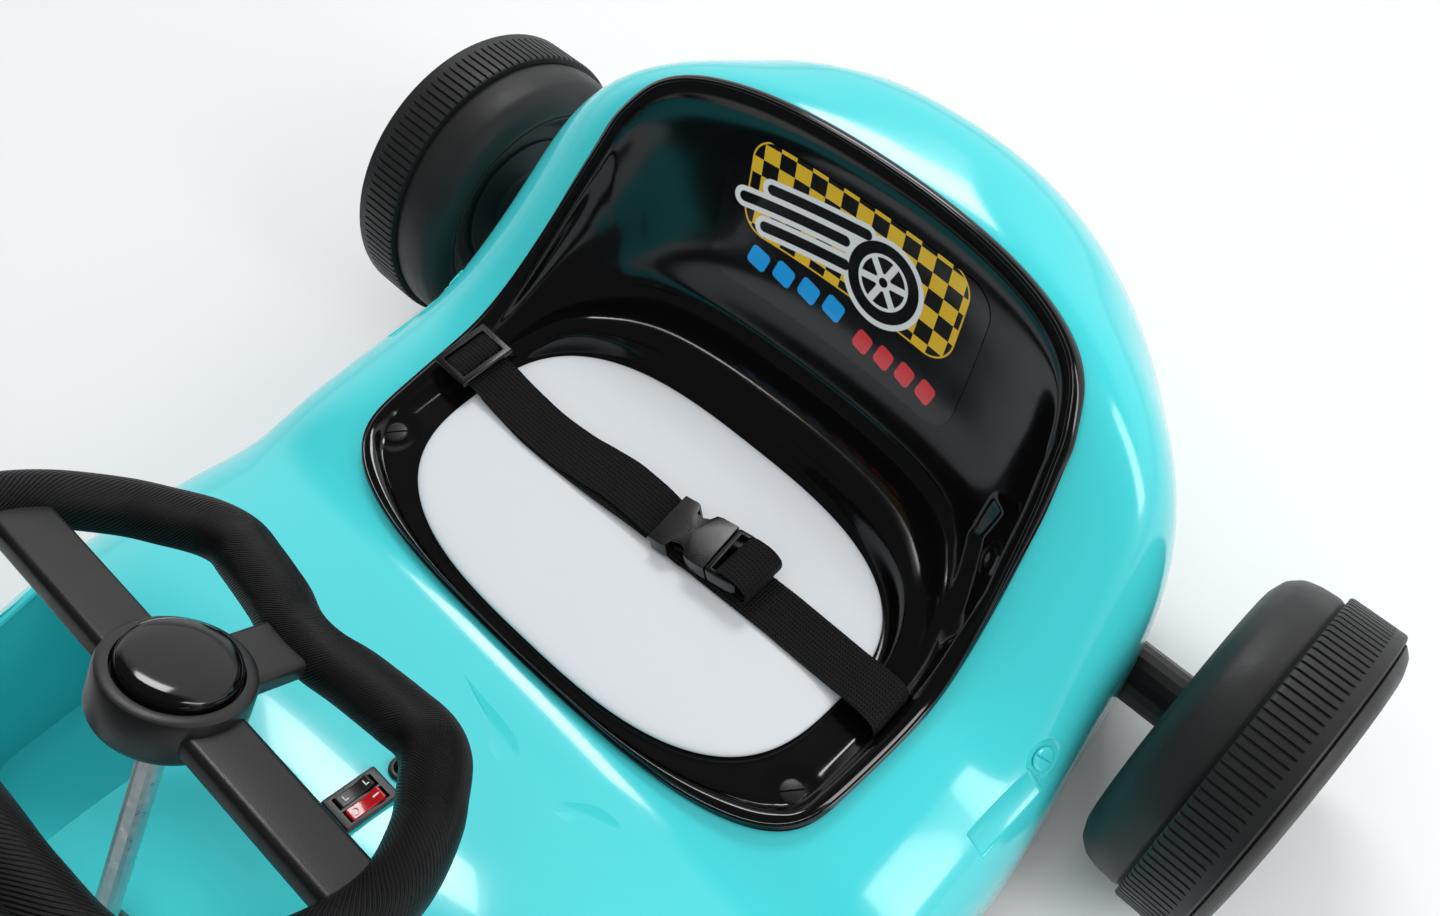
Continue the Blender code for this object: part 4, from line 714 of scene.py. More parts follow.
def screw(name, node, place, turn, finish, slot_name):
    piece = turning(name, screw_profile, place, 48)
    turned = place @ Matrix.Rotation(math.radians(turn), 4, "Z")
    cut_out(piece, block("driver_slot", (-0.0062, -0.0005, 0.0004), (0.0062, 0.0005, 0.006), place=turned))
    dress(piece, finish, 35)
    settle(piece, "chassis", slot_name, node)


for side, word in ((1, "left"), (-1, "right")):
    spot = tub_surface.ray_cast(Vector((side * screw_x, screw_y, 0.2)), Vector((0, 0, -1)))[0]
    place = upright((side * screw_x, screw_y, spot.z - 0.0003), (0, 0, 1))
    screw(f"tub_screw_{word}", f"seat_screw_{word}", place, 50, satin_black, "satin_black_plastic")
    place = flank_place(side) @ Matrix.Translation((0, 0, -0.001))
    screw(f"flank_screw_{word}", f"shell_screw_{word}", place, 20, turquoise, "turquoise_plastic")


# Lap belt. Black 25 mm polypropylene webbing, ribbed lengthwise. The right strap runs double through a
# slide adjuster, and the left strap loops through the tongue and lies back under the buckle.

web_wide, web_thick = 0.0255, 0.0014
web_step, web_across = 0.0022, 28


def webbing(name, stations):
    """A flat band: each station is (x, y, z, twist about its length, share of the full width)."""
    points = [Vector(s[:3]) for s in stations]
    gaps = [0.0]
    for a, b in zip(points, points[1:]):
        gaps.append(gaps[-1] + (b - a).length)
    smooth = [curve_through(gaps, [s[c] for s in stations]) for c in range(5)]
    rows = max(24, int(gaps[-1] / web_step))

    def middle(d):
        return Vector([float(smooth[c](d)) for c in range(3)])

    def at(row, column):
        d = row * gaps[-1]
        along = (middle(min(d + 0.0006, gaps[-1])) - middle(max(d - 0.0006, 0))).normalized()
        twist, share = float(smooth[3](d)), float(smooth[4](d))
        level = Vector((0, 1, 0))
        side = Matrix.Rotation(twist, 3, along) @ (level - along * level.dot(along)).normalized()
        over = along.cross(side)
        t = column * 2
        edge = (t if t <= 1 else 2 - t) * 2 - 1
        half = web_thick / 2 * (1 - abs(edge) ** 10 * 0.55)
        return middle(d) + side * edge * web_wide / 2 * share + over * (half if t <= 1 else -half)
    piece = skin(name, rows, web_across, at)
    select_only(piece)
    bpy.ops.object.mode_set(mode="EDIT")
    bpy.ops.mesh.select_all(action="DESELECT")
    bpy.ops.mesh.select_non_manifold()
    bpy.ops.mesh.fill()
    bpy.ops.object.mode_set(mode="OBJECT")
    edit_all(piece, bpy.ops.mesh.normals_make_consistent, inside=False)
    return piece, gaps[-1]


n = Nodes("black_webbing_weave")
axes = n.axes()
rib_pitch, pick_pitch = 0.0021, 0.0016
rib = n.calc("SINE", n.calc("MULTIPLY", axes["Y"], 2 * math.pi / rib_pitch))
pick = n.calc("SINE", n.calc("ADD", n.calc("MULTIPLY", axes["X"], 2 * math.pi / pick_pitch),
                             n.calc("MULTIPLY", rib, 1.2)))
weave = n.calc("ADD", n.calc("MULTIPLY", rib, 0.5), n.calc("MULTIPLY", pick, 0.55))
fibre = n.noise(2400.0, 3.0)
height = n.calc("ADD", weave, n.calc("MULTIPLY", fibre, 0.8))
# Painted light on the weave: the colour follows the weave's height, with a painted sheen on the raised
# threads and painted shade in the hollows. The fibre noise adds random tone.
web_dark, web_light = (0.002, 0.002, 0.0022, 1), (0.013, 0.013, 0.0135, 1)
n.feed("Base Color", n.blend(n.spread(height, 0, 1, -0.6, 1.4), web_dark, web_light))
n.feed("Roughness", 0.75)
n.feed("Specular IOR Level", 0.25)
n.bump(height, 0.9, 0.0006)
weave_black = n.material

over, under = pad_top + 0.0022, pad_top - 0.0135
buckle_turn = (Matrix.Translation((0.0063, 0.2325, 0.1535)) @ Matrix.Rotation(math.radians(6), 4, "Z")
               @ Matrix.Rotation(math.radians(-8), 4, "Y"))


def on_buckle(u, w, v=0.0):
    """A station of webbing at a place in the buckle's own frame."""
    p = buckle_turn @ Vector((u, v, w))
    return (p.x, p.y, p.z, 0, 1)


def strap(name, stations, held, rests_on, body, *nodes):
    """A finished run of webbing along its stations, handed to its body."""
    piece, length = webbing(name, stations)
    dress(piece, weave_black, 50)
    settle(piece, body, "black_webbing", *nodes)


left_run = [(0.1185, 0.233, under, 0, 1), (0.1405, 0.233, under, 0, 1), (0.1477, 0.233, under + 0.003, 0, 1),
            (0.1485, 0.233, under + 0.008, 0, 1), (0.1485, 0.233, over - 0.001, 0, 1),
            (0.147, 0.2334, over + 0.003, 0, 1), (0.1425, 0.2338, over + 0.005, 0, 1),
            (0.134, 0.2344, over + 0.0044, 0.03, 1), (0.12, 0.235, over + 0.0016, 0.03, 1),
            (0.102, 0.2354, over + 0.0002, 0.0, 1), (0.082, 0.2354, over, 0, 1),
            (0.064, 0.2348, over, 0, 1), (0.045, 0.234, over, 0, 1),
            (0.03, 0.2334, over, 0, 1), (0.018, 0.233, over, 0, 1)]
strap("lap_strap_left", left_run, "laid", "seat_cushion", "chassis", "belt_left")

slide_mid = Vector((-0.1382, 0.2318, 0.1568))
right_run = [(-0.1185, 0.233, under, 0, 1), (-0.1405, 0.233, under, 0, 1),
             (-0.1477, 0.233, under + 0.003, 0, 1), (-0.1487, 0.233, under + 0.008, 0, 1),
             (-0.1495, 0.2328, over + 0.002, 0, 1), (-0.1478, 0.2325, over + 0.0052, 0, 1),
             (-0.144, 0.2322, slide_mid.z + 0.0004, 0, 1),
             (-0.1382, 0.2318, slide_mid.z + 0.0012, 0, 1), (-0.1325, 0.2316, slide_mid.z - 0.0002, 0, 1),
             (-0.129, 0.2315, slide_mid.z - 0.0034, 0, 1), (-0.12, 0.2312, over + 0.003, 0, 1),
             (-0.103, 0.23, over + 0.0018, -0.02, 1), (-0.079, 0.2288, over + 0.0016, 0, 1),
             (-0.057, 0.2298, over + 0.0022, 0.04, 1), (-0.04, 0.2318, over + 0.0036, 0.08, 1),
             (-0.024, 0.2336, over + 0.0044, 0.08, 1), (-0.008, 0.2335, 0.154, 0.03, 1),
             (0.003, 0.2328, 0.1538, 0, 1), on_buckle(0.0018, 0.001)]
strap("lap_strap_right", right_run, "laid", "seat_cushion", "chassis", "belt_right")

slack = [(-0.118, 0.2308, over + 0.0002, 0, 0.94), (-0.103, 0.2296, over, 0, 0.97),
         (-0.079, 0.2282, over, 0, 1), (-0.057, 0.2286, over, 0, 1),
         (-0.04, 0.2292, over + 0.0002, -0.03, 1), (-0.024, 0.2302, over + 0.0006, -0.04, 1),
         (-0.008, 0.2312, over + 0.0016, -0.03, 1), (0.003, 0.2318, 0.1512, 0, 1)]
strap("lap_strap_fold", slack, "folded", "seat_cushion", "chassis")

round_bar = ((0.0402, -0.002), (0.0404, 0.003), (0.0425, 0.0058),
             (0.047, 0.0066), (0.0515, 0.0058), (0.056, 0.0028))
fold = [on_buckle(*p) for p in round_bar]
fold += [(0.064, 0.2386, 0.1592, 0, 1), (0.0636, 0.2382, 0.1545, 0, 1), (0.059, 0.2374, 0.152, 0, 1),
         (0.05, 0.2358, 0.1512, 0, 1), (0.04, 0.2342, 0.1511, 0, 1), (0.028, 0.2325, 0.1511, 0, 1),
         (0.019, 0.2316, 0.1512, 0, 0.98), (0.015, 0.2316, 0.1513, 0, 0.86)]
strap("tongue_loop", fold, "folded", "buckle_tongue", "tongue")


# Side-release buckle and slide adjuster. Moulded in black acetal: a hollow socket with notched sides,
# a tongue with a webbing bar and sprung prongs, and a three-bar slide on the right strap.

buckle_black = plastic("buckle_acetal", (0.004, 0.004, 0.0043), 0.3, 0.05,
                       grain=0.12, grain_size=900.0, tint=0.08)
buckle_thick, socket_long, prong_half = 0.01, 0.0335, 0.0014
low_z, high_z = -buckle_thick / 2, buckle_thick / 2


def buckle_half(name, side_line, edge, cuts):
    """One half of the buckle: its plan is the side line and its mirror image, with slots cut out."""
    half = prism(name, side_line + [(u, -v) for u, v in reversed(side_line)], low_z, high_z)
    modify(half, "BEVEL", width=edge, segments=4, limit_method="ANGLE", angle_limit=math.radians(60))
    for low, high in cuts:
        cut_out(half, block("buckle_slot", low, high, 0.0006, 2))
    return half


def finish_buckle(piece, place, body, node):
    piece.data.transform(place)
    dress(piece, buckle_black, 35)
    settle(piece, body, "satin_black_plastic", node)


side_line = [(0.0, 0.0146), (0.008, 0.0148), (0.0098, 0.014), (0.0108, 0.0098), (0.015, 0.0086),
             (0.0192, 0.0104), (0.021, 0.0136), (0.024, 0.0143), (socket_long, 0.0143)]
socket = buckle_half("buckle_shell", side_line, 0.0013, (
    ((0.0045, -0.0124, low_z + 0.0016), (0.05, 0.0124, high_z - 0.0016)),
    ((0.024, -0.0116, low_z - 0.01), (0.05, 0.0116, 0.0)),
    ((-0.01, -0.013, -0.0018), (0.0036, 0.013, 0.003))))
finish_buckle(socket, buckle_turn, "chassis", "buckle_socket")

base = socket_long + 0.0004
side_line = [(base, 0.0143), (base + 0.008, 0.0143), (base + 0.015, 0.0138), (base + 0.0168, 0.0124)]
tongue = buckle_half("tongue_base", side_line, 0.0015, (
    ((base + 0.003, -0.0118, -0.01), (base + 0.009, 0.0118, 0.02)),
    ((base + 0.008, -0.013, 0.0022), (base + 0.03, 0.013, 0.02))))
merge_into(tongue, block("tongue_guide", (base - 0.02, -0.003, -prong_half),
                         (base + 0.002, 0.003, prong_half), 0.0005, 2))
for side in (-1, 1):
    arm = [(base + 0.002, side * 0.01), (base - 0.012, side * 0.0098), (base - 0.015, side * 0.0106),
           (base - 0.0215, side * 0.0106), (base - 0.0232, side * 0.009), (base - 0.0225, side * 0.007),
           (base - 0.012, side * 0.0068), (base + 0.002, side * 0.0072)]
    merge_into(tongue, prism("prong", rounded(arm, 0.0007, 3), -prong_half, prong_half))
finish_buckle(tongue, buckle_turn, "tongue", "buckle_tongue")

slide = block("strap_slide", (-0.0124, -0.0167, -0.0016), (0.0124, 0.0167, 0.0016), 0.0009, 3)
cut_out(slide, block("slide_gap", (-0.0086, -0.0132, -0.01), (0.0088, 0.0132, 0.01), 0.0009, 2))
merge_into(slide, block("slide_bar", (-0.0018, -0.0145, -0.0014), (0.0018, 0.0145, 0.0), 0.0005, 2))
slide_place = Matrix.Translation(slide_mid) @ Matrix.Rotation(math.radians(-1.5), 4, "Z")
finish_buckle(slide, slide_place, "chassis", "slide_adjuster")


# Backrest sticker. A clear printed film on the scooped backrest, with a plain racing pattern of chequers,
# a wheel with speed lines, and two rows of coloured blocks.

film_half, film_low, film_high, film_corner = 0.08, 0.179, 0.2655, 0.016
film_gap = 0.00035


def film_at(row, column):
    x = (column * 2 - 1) * film_half
    z = film_low + row * (film_high - film_low)
    for sx in (-1, 1):
        for end, sz in ((film_low, 1), (film_high, -1)):
            cx, cz = sx * (film_half - film_corner), end + sz * film_corner
            dx, dz = (x - cx) * sx, (cz - z) * sz
            if dx > 0 and dz > 0:
                reach = max(dx, dz) / math.hypot(dx, dz)
                x, z = cx + sx * dx * reach, cz - sz * dz * reach
    hit = tub_surface.ray_cast(Vector((x, 0.24, z)), Vector((0, 1, 0)))[0]
    return hit + Vector((0, -film_gap, 0))


film = skin("backrest_film", 60, 96, film_at)
if sum(f.normal.y * f.area for f in film.data.polygons) > 0:
    edit_all(film, bpy.ops.mesh.flip_normals)

n = Nodes("printed_film")
axes = n.axes()
soft_edge = 0.0002


def turned_at(cx, cz, degrees):
    """The place on the film in a frame at (cx, cz) turned by the angle."""
    c, s = math.cos(math.radians(degrees)), math.sin(math.radians(degrees))
    dx, dz = n.calc("SUBTRACT", axes["X"], cx), n.calc("SUBTRACT", axes["Z"], cz)
    return (n.calc("ADD", n.calc("MULTIPLY", dx, c), n.calc("MULTIPLY", dz, s)),
            n.calc("SUBTRACT", n.calc("MULTIPLY", dz, c), n.calc("MULTIPLY", dx, s)))


def length_of(a, b):
    return n.calc("SQRT", n.calc("ADD", n.calc("POWER", a, 2.0), n.calc("POWER", b, 2.0)))


def boxed(at, half_x, half_z, corner):
    """Distance outside a rounded box."""
    ax = n.calc("SUBTRACT", n.calc("ABSOLUTE", at[0]), half_x - corner)
    az = n.calc("SUBTRACT", n.calc("ABSOLUTE", at[1]), half_z - corner)
    out = length_of(n.calc("MAXIMUM", ax, 0.0), n.calc("MAXIMUM", az, 0.0))
    inside = n.calc("MINIMUM", n.calc("MAXIMUM", ax, az), 0.0)
    return n.calc("SUBTRACT", n.calc("ADD", out, inside), corner)


def disc(at, radius):
    return n.calc("SUBTRACT", length_of(*at), radius)


def filled(distance, grow=0.0):
    """1 inside the form, grown by a margin, and 0 outside."""
    return n.spread(distance, 1.0, 0.0, grow - soft_edge, grow + soft_edge)


def nearest(*distances):
    best = distances[0]
    for other in distances[1:]:
        best = n.calc("MINIMUM", best, other)
    return best


black, white, yellow = (0.003, 0.003, 0.0033, 1), (0.95, 0.96, 0.97, 1), (0.97, 0.6, 0.04, 1)
blue, crimson = (0.02, 0.42, 0.98, 1), (0.8, 0.05, 0.06, 1)
chequer_side = 0.0095
panel = boxed(turned_at(0.0, 0.2385, 0), 0.066, 0.0275, 0.014)
chequer = n.tree.nodes.new("ShaderNodeTexChecker")
chequer.inputs["Scale"].default_value = 1 / chequer_side
chequer.inputs["Color1"].default_value = yellow
chequer.inputs["Color2"].default_value = (0.006, 0.006, 0.006, 1)
flat = n.tree.nodes.new("ShaderNodeCombineXYZ")
n.put(flat.inputs[0], n.calc("ADD", axes["X"], 0.0035))
n.put(flat.inputs[1], 0.001)
n.put(flat.inputs[2], n.calc("ADD", axes["Z"], 0.003))
n.put(chequer.inputs["Vector"], flat.outputs[0])
wheel_middle = (0.02, 0.2295)
wheel_at = turned_at(*wheel_middle, 0)
spokes = nearest(*[boxed(turned_at(*wheel_middle, a), 0.0145, 0.0019, 0.0008) for a in (10, 70, 130)])
line_places = ((-0.024, 0.244, 0.032), (-0.037, 0.2325, 0.034), (-0.028, 0.221, 0.028))
lines = nearest(*[boxed(turned_at(x, z, 9), half, 0.003, 0.0029) for x, z, half in line_places])
motif = nearest(disc(wheel_at, 0.0215), lines)
blue_row, red_row = (
    nearest(*[boxed(turned_at(x + k * step, z, -14), half, 0.0056, 0.0025) for k in range(4)])
    for x, step, z, half in ((-0.0515, 0.0165, 0.1985, 0.006), (0.0195, 0.014, 0.1925, 0.005)))
colour = black
for share, layer in (
        (filled(panel, 0.0009), yellow), (filled(panel), chequer.outputs["Color"]),
        (filled(motif, 0.003), white), (filled(motif), black),
        (filled(disc(wheel_at, 0.015)), white), (filled(disc(wheel_at, 0.0132)), black),
        (n.calc("MULTIPLY", filled(spokes), filled(disc(wheel_at, 0.014))), white),
        (filled(disc(wheel_at, 0.0048)), white), (filled(disc(wheel_at, 0.0026)), black),
        (filled(blue_row), blue), (filled(red_row), crimson)):
    colour = n.blend(share, colour, layer)
n.feed("Base Color", colour)
n.feed("Roughness", n.spread(n.noise(90.0), 0.1, 0.14, 0.3, 0.7))
n.feed("Coat Weight", 0.3)
n.feed("Coat Roughness", coat_roughness)
dress(film, n.material, 60)
settle(film, "chassis", "gloss_black_plastic")


# Steering wheel and horn. A fat grip moulded in black with a slanted ribbed texture, wider at its two
# lower corners, on a flat cross spoke and a foot spoke. The horn is a domed button in the boss.

wheel_turn = Matrix((Vector((-1, 0, 0)), -crank_down, steer_axis)).transposed().to_4x4()
wheel_frame = Matrix.Translation(steer_hub) @ wheel_turn
# x, y in the wheel's plane and half the grip's width there, from the foot spoke round to the top
grip_line = (
    (0.0, -0.0555, 0.0115), (0.01, -0.0565, 0.0118), (0.022, -0.06, 0.0126), (0.034, -0.0622, 0.0128),
    (0.046, -0.064, 0.0129), (0.058, -0.0652, 0.0129), (0.069, -0.0605, 0.013), (0.0805, -0.049, 0.0126),
    (0.0915, -0.036, 0.0122), (0.1035, -0.014, 0.0118), (0.108, 0.008, 0.0115), (0.106, 0.035, 0.0115),
    (0.0975, 0.059, 0.0115), (0.0778, 0.0745, 0.0115), (0.0486, 0.078, 0.0115), (0.022, 0.078, 0.0115))
grip_loop = list(grip_line) + [(-x, y, r) for x, y, r in reversed(grip_line[1:])]
grip_thick, grip_square = 0.0098, 0.85
rib_count, rib_slant = 330, 40


def loop_point(share):
    """A point on the closed grip line and its radius, smoothly through the given ones."""
    t = (share % 1.0) * len(grip_loop)
    i, u = int(t), t - int(t)
    a, b, c, d = (np.array(grip_loop[(i + k) % len(grip_loop)]) for k in (-1, 0, 1, 2))
    square, cube = 2 * a - 5 * b + 4 * c - d, 3 * b - a - 3 * c + d
    return 0.5 * (2 * b + (c - a) * u + square * u * u + cube * u ** 3)


def grip_at(row, column):
    x, y, r = loop_point(row)
    along = Vector(loop_point(row + 0.002)[:2]) - Vector(loop_point(row - 0.002)[:2])
    out = Vector((along.y, -along.x)).normalized()
    a = 2 * math.pi * column
    across, up = (math.copysign(abs(t) ** grip_square, t) for t in (math.cos(a), math.sin(a)))
    reach = across * r
    return wheel_frame @ Vector((x + out.x * reach, y + out.y * reach, grip_thick * up))


grip = skin("steering_grip", 260, 36, grip_at)
cross_spoke = block("cross_spoke", (-0.1, -0.011, -0.005), (0.1, 0.013, 0.005), 0.003, 4, wheel_frame)
foot_spoke = block("foot_spoke", (-0.013, -0.053, -0.0045), (0.013, 0, 0.0045), 0.003, 4, wheel_frame)
hub_place = upright(steer_hub, steer_axis)
boss_profile = ((-0.02, 0.0054), (-0.02, 0.015), (-0.018, 0.0172), (-0.009, 0.0262), (-0.007, 0.027),
                (0.0075, 0.027), (0.009, 0.0265), (0.01, 0.025), (0.01, 0.0222), (0.0092, 0.0218),
                (0.004, 0.0218), (0.004, 0.0))
boss = turning("wheel_boss", boss_profile, hub_place, 72)
n = Nodes("ribbed_grip_plastic")
axes = n.axes("UV")
slant = n.calc("SUBTRACT", n.calc("MULTIPLY", axes["Y"], 2 * math.pi * rib_count),
               n.calc("MULTIPLY", axes["X"], 2 * math.pi * rib_slant))
height = n.calc("SINE", slant)
# Painted light on the ribs: the colour follows the rib height, with painted shade in the grooves and a
# painted highlight on the crests.
grip_groove_shade, grip_rib_highlight = (0.0008, 0.0008, 0.001, 1), (0.0075, 0.007, 0.0072, 1)
n.feed("Base Color", n.blend(n.spread(height, 0, 1, -0.8, 0.8), grip_groove_shade, grip_rib_highlight))
n.feed("Roughness", n.spread(height, 0.36, 0.5, -0.8, 0.8))
n.feed("Specular IOR Level", 0.22)
n.bump(height, 0.8, 0.0004)
dress(grip, n.material, 60)
for piece in (cross_spoke, foot_spoke, boss):
    dress(piece, satin_black, 35)
merge_into(grip, cross_spoke, foot_spoke, boss)
settle(grip, "steering", "satin_black_plastic", "steering_wheel")

horn_profile = ((0.0073, 0), (0.0073, 0.0206), (0.0078, 0.021), (0.0125, 0.021), (0.014, 0.0203),
                (0.0152, 0.018), (0.016, 0.012), (0.0165, 0.0))
horn = turning("horn_cap", horn_profile, hub_place, 72)
dress(horn, gloss_black, 40)
settle(horn, "horn", "gloss_black_plastic", "horn_button")


# Switch panel. A black bezel in the cowl with two rocker switches, one red with its on and off marks and
# one black with two plain marks, and a round charging socket beside it.

rocker_step, rocker_half = 0.00375, 0.003
mark_low, mark_high = 0.0033, 0.00415
bezel = block("rocker_bezel", (-0.00925, -0.0135, 0.0006), (0.00925, 0.0135, 0.0026), 0.0009, 4, bezel_place)
well_box = block("bezel_body", (-0.00775, -0.012, -0.014), (0.00775, 0.012, 0.0012), 0.0, place=bezel_place)
cut_out(bezel, well_box, "UNION")
for side in (-1, 1):
    cut_out(bezel, block("rocker_window", (side * rocker_step - 0.0032, -0.0098, -0.012),
                         (side * rocker_step + 0.0032, 0.0098, 0.02), place=bezel_place))
dress(bezel, satin_black, 35)
settle(bezel, "chassis", "satin_black_plastic", "switch_bezel")

half_section = [(-0.0082, -0.002), (-0.0083, 0.0034), (-0.0079, 0.0041), (-0.007, 0.004), (-0.0035, 0.0033)]
rocker_foot = [(0.0041, -0.006), (-0.0041, -0.006)]
rocker_section = half_section + [(0.0, 0.003)] + mirrored(half_section) + rocker_foot
red = plastic("red_rocker_plastic", (0.5, 0.006, 0.012), 0.2, 0.03, coat=0.4)
mark_white = plastic("mark_paint", (0.8, 0.8, 0.8), 0.5, 0.05)
section_turn = Matrix(((0, 0, 1, 0), (1, 0, 0, 0), (0, 1, 0, 0), (0, 0, 0, 1)))
for word, side, finish, slot in (("speed", -1, satin_black, "gloss_black_plastic"),
                                 ("power", 1, red, "red_plastic")):
    tilt = Matrix.Rotation(math.radians(8), 4, "X")
    place = bezel_place @ Matrix.Translation((side * rocker_step, 0, 0)) @ tilt
    key = prism(f"{word}_key", rocker_section, -rocker_half, rocker_half, place @ section_turn)
    modify(key, "BEVEL", width=0.0004, segments=3, limit_method="ANGLE", angle_limit=math.radians(40))
    dress(key, finish, 35)
    marks = []
    if word == "power":
        marks.append(block("on_mark", (-0.0003, 0.0038, mark_low), (0.0003, 0.0068, mark_high), place=place))
        ring = ((0.003, 0.0013), (0.003, 0.0019), (0.0041, 0.0019), (0.0041, 0.0013))
        marks.append(turning("off_mark", ring, place @ Matrix.Translation((0, -0.005, 0)), 32, closed=True))
    else:
        for y in (-0.0054, 0.005):
            for low, high, tall in ((-0.0012, 0.0012, 0.0005), (0.0008, 0.0013, 0.0018)):
                marks.append(block("speed_mark", (low, y, mark_low), (high, y + tall, mark_high),
                                   place=place))
    for mark in marks:
        dress(mark, mark_white, 35)
    merge_into(key, *marks)
    settle(key, f"{word}_switch", slot, f"{word}_rocker")

jack_profile = ((-0.01, 0), (-0.01, 0.0053), (0.0006, 0.0053), (0.0006, 0.0068), (0.0014, 0.0068),
                (0.002, 0.0066), (0.0024, 0.006), (0.0024, 0.0048), (0.0018, 0.0044), (-0.004, 0.0038),
                (-0.004, 0.0016), (0.0004, 0.0015), (0.0006, 0.0))
jack = turning("charge_jack", jack_profile, charge_place, 56)
dress(jack, satin_black, 35)
settle(jack, "chassis", "satin_black_plastic", "charge_socket")


# Wheels. Blow-moulded matte black wheels with a wide smooth shoulder, a ribbed running band, a dished
# face on both sides and a clipped-in hub cap.

tyre_black = plastic("matte_wheel_plastic", (0.016, 0.016, 0.0165), 0.5, 0.05,
                     grain=0.2, grain_size=700.0, tint=0.1)
profile_round = 0.002


def soften(points):
    """The profile with each inner corner replaced by three points."""
    result = [points[0]]
    for a, b, c in zip(points, points[1:], points[2:]):
        a, b, c = Vector(a), Vector(b), Vector(c)
        back, ahead = (a - b), (c - b)
        r = min(profile_round, back.length * 0.45, ahead.length * 0.45)
        p, q = b + back.normalized() * r, b + ahead.normalized() * r
        result += [tuple(p), tuple((p + q) / 4 + b / 2), tuple(q)]
    return result + [points[-1]]


def road_wheel(end, word, side, y, radius, inner, width, band, band_wide):
    """A wheel whose inner face is at x = inner and whose ribbed band starts band further out."""
    r, w, body = radius, width, f"{end}_{word}"
    rear_only = 0.018
    place = upright((side * inner, y, radius), (side, 0, 0))
    stop = band + band_wide
    profile = ((0.002, 0.0058), (0.002, 0.02), (0.013, 0.024), (0.0135, r - 0.036), (0.006, r - 0.03),
               (0.0, r - 0.021), (0.0035, r - 0.0115), (0.01, r - 0.006), (rear_only, r - 0.0041),
               (band - 0.0025, r - 0.0035), (band, r - 0.0047), (stop, r - 0.0047),
               (stop + 0.001, r - 0.0035), (w - 0.003, r - 0.008), (w, r - 0.017), (w - 0.006, r - 0.024),
               (w - 0.013, r - 0.03), (w - 0.014, 0.026), (w - 0.01, 0.022), (w - 0.01, 0.0058))
    if end == "front":
        profile = tuple(p for p in profile if p[0] != rear_only)
    hull = turning(f"{end}_wheel_body_{word}", soften(profile) + [profile[0]], place, 96)
    rings = []
    for at, at_radius, thick in ((0.0128, r - 0.047, 0.0012), (0.002, r - 0.0245, 0.001)):
        ring = [place @ Vector((at_radius * math.cos(a), at_radius * math.sin(a), at))
                for a in np.linspace(0, 2 * math.pi, 72, endpoint=False)]
        rings.append(tube("face_ring", ring, thick, 8, closed=True))
    merge_into(hull, *rings)
    dress(hull, tyre_black, 40)
    settle(hull, body, "black_tyre", f"{end}_wheel_{word}")

    low, high = band + 0.0004, stop - 0.0004
    grooves = 118 if end == "rear" else 100
    groove_depth, groove_steps = 0.0015, (0.06, 0.22, 0.3, 0.98)
    levels = [(low, 0.0043), (low, 0.003), (low, 0.001), (low + 0.0008, 0.0003), (low + 0.002, 0.0),
              (high - 0.008, 0.0), (high - 0.0062, 0.0), (high - 0.001, 0.0), (high, 0.0008),
              (high, 0.0043), (low, 0.0043)]

    def band_at(row, column):
        index = round(row * (len(levels) - 1))
        along, depth = levels[index]
        step = round(column * grooves * 4)
        if 2 <= index <= 5 and step % 4 in (0, 1):
            depth = max(depth, groove_depth)
        a = 2 * math.pi * (step // 4 + groove_steps[step % 4]) / grooves
        return place @ Vector(((r - depth) * math.cos(a), (r - depth) * math.sin(a), along))
    tread = skin(f"{end}_running_band_{word}", len(levels) - 1, grooves * 4, band_at)
    dress(tread, tyre_black, 30)
    settle(tread, body, "black_tyre", f"{end}_tread_{word}")

    face = w - 0.01
    cap_profile = [(face + out, across) for out, across in (
        (0.0004, 0.012), (0.0066, 0.0115), (0.007, 0.0), (0.0095, 0.0), (0.0093, 0.006), (0.0086, 0.0115),
        (0.0075, 0.015), (0.0068, 0.0156), (0.0066, 0.0164), (0.0062, 0.0178), (0.0042, 0.0203),
        (0.002, 0.0209), (0.0004, 0.021), (0.0004, 0.012))]
    cap = turning(f"{end}_cap_{word}", cap_profile, place, 64)
    dress(cap, gloss_black, 35)
    settle(cap, body, "gloss_black_plastic", f"{end}_hub_cap_{word}")


for side, word in ((1, "left"), (-1, "right")):
    road_wheel("rear", word, side, rear_axle_y, rear_radius, 0.237, 0.07, 0.0305, 0.031)
    road_wheel("front", word, side, front_axle_y, front_radius, 0.214, 0.054, 0.0135, 0.027)


# Pedal. A moulded black plate with raised grip bars, turning on a steel pin between two ears.

pedal_pivot = Vector((-0.094, -0.118, 0.06))
pedal_place = Matrix.Translation(pedal_pivot) @ Matrix.Rotation(math.radians(-38), 4, "X")
pedal = block("pedal_plate", (-0.026, -0.074, -0.0025), (0.026, 0.004, 0.0022), 0.0012, 3, pedal_place)
sleeve_profile = ((-0.026, 0.0038), (-0.026, 0.006), (-0.0255, 0.0065), (0.0255, 0.0065),
                  (0.026, 0.006), (0.026, 0.0038), (-0.026, 0.0038))
sleeve = turning("pedal_sleeve", sleeve_profile, upright(pedal_pivot, (1, 0, 0)), 40)
bar_step = 0.0095
bars = [block("grip_bar", (-0.021, -0.068 + k * bar_step, 0.0015), (0.021, -0.064 + k * bar_step, 0.0025),
              0.0005, 2, pedal_place) for k in range(6)]
merge_into(pedal, sleeve, *bars)
dress(pedal, satin_black, 35)
settle(pedal, "pedal", "satin_black_plastic", "accelerator_pedal")


# Running gear and power. Zinc-plated axles, pins, link and motor cans, black brackets and pan, and a
# dark grey battery case and gearboxes. These keep their solids and take a finish only.

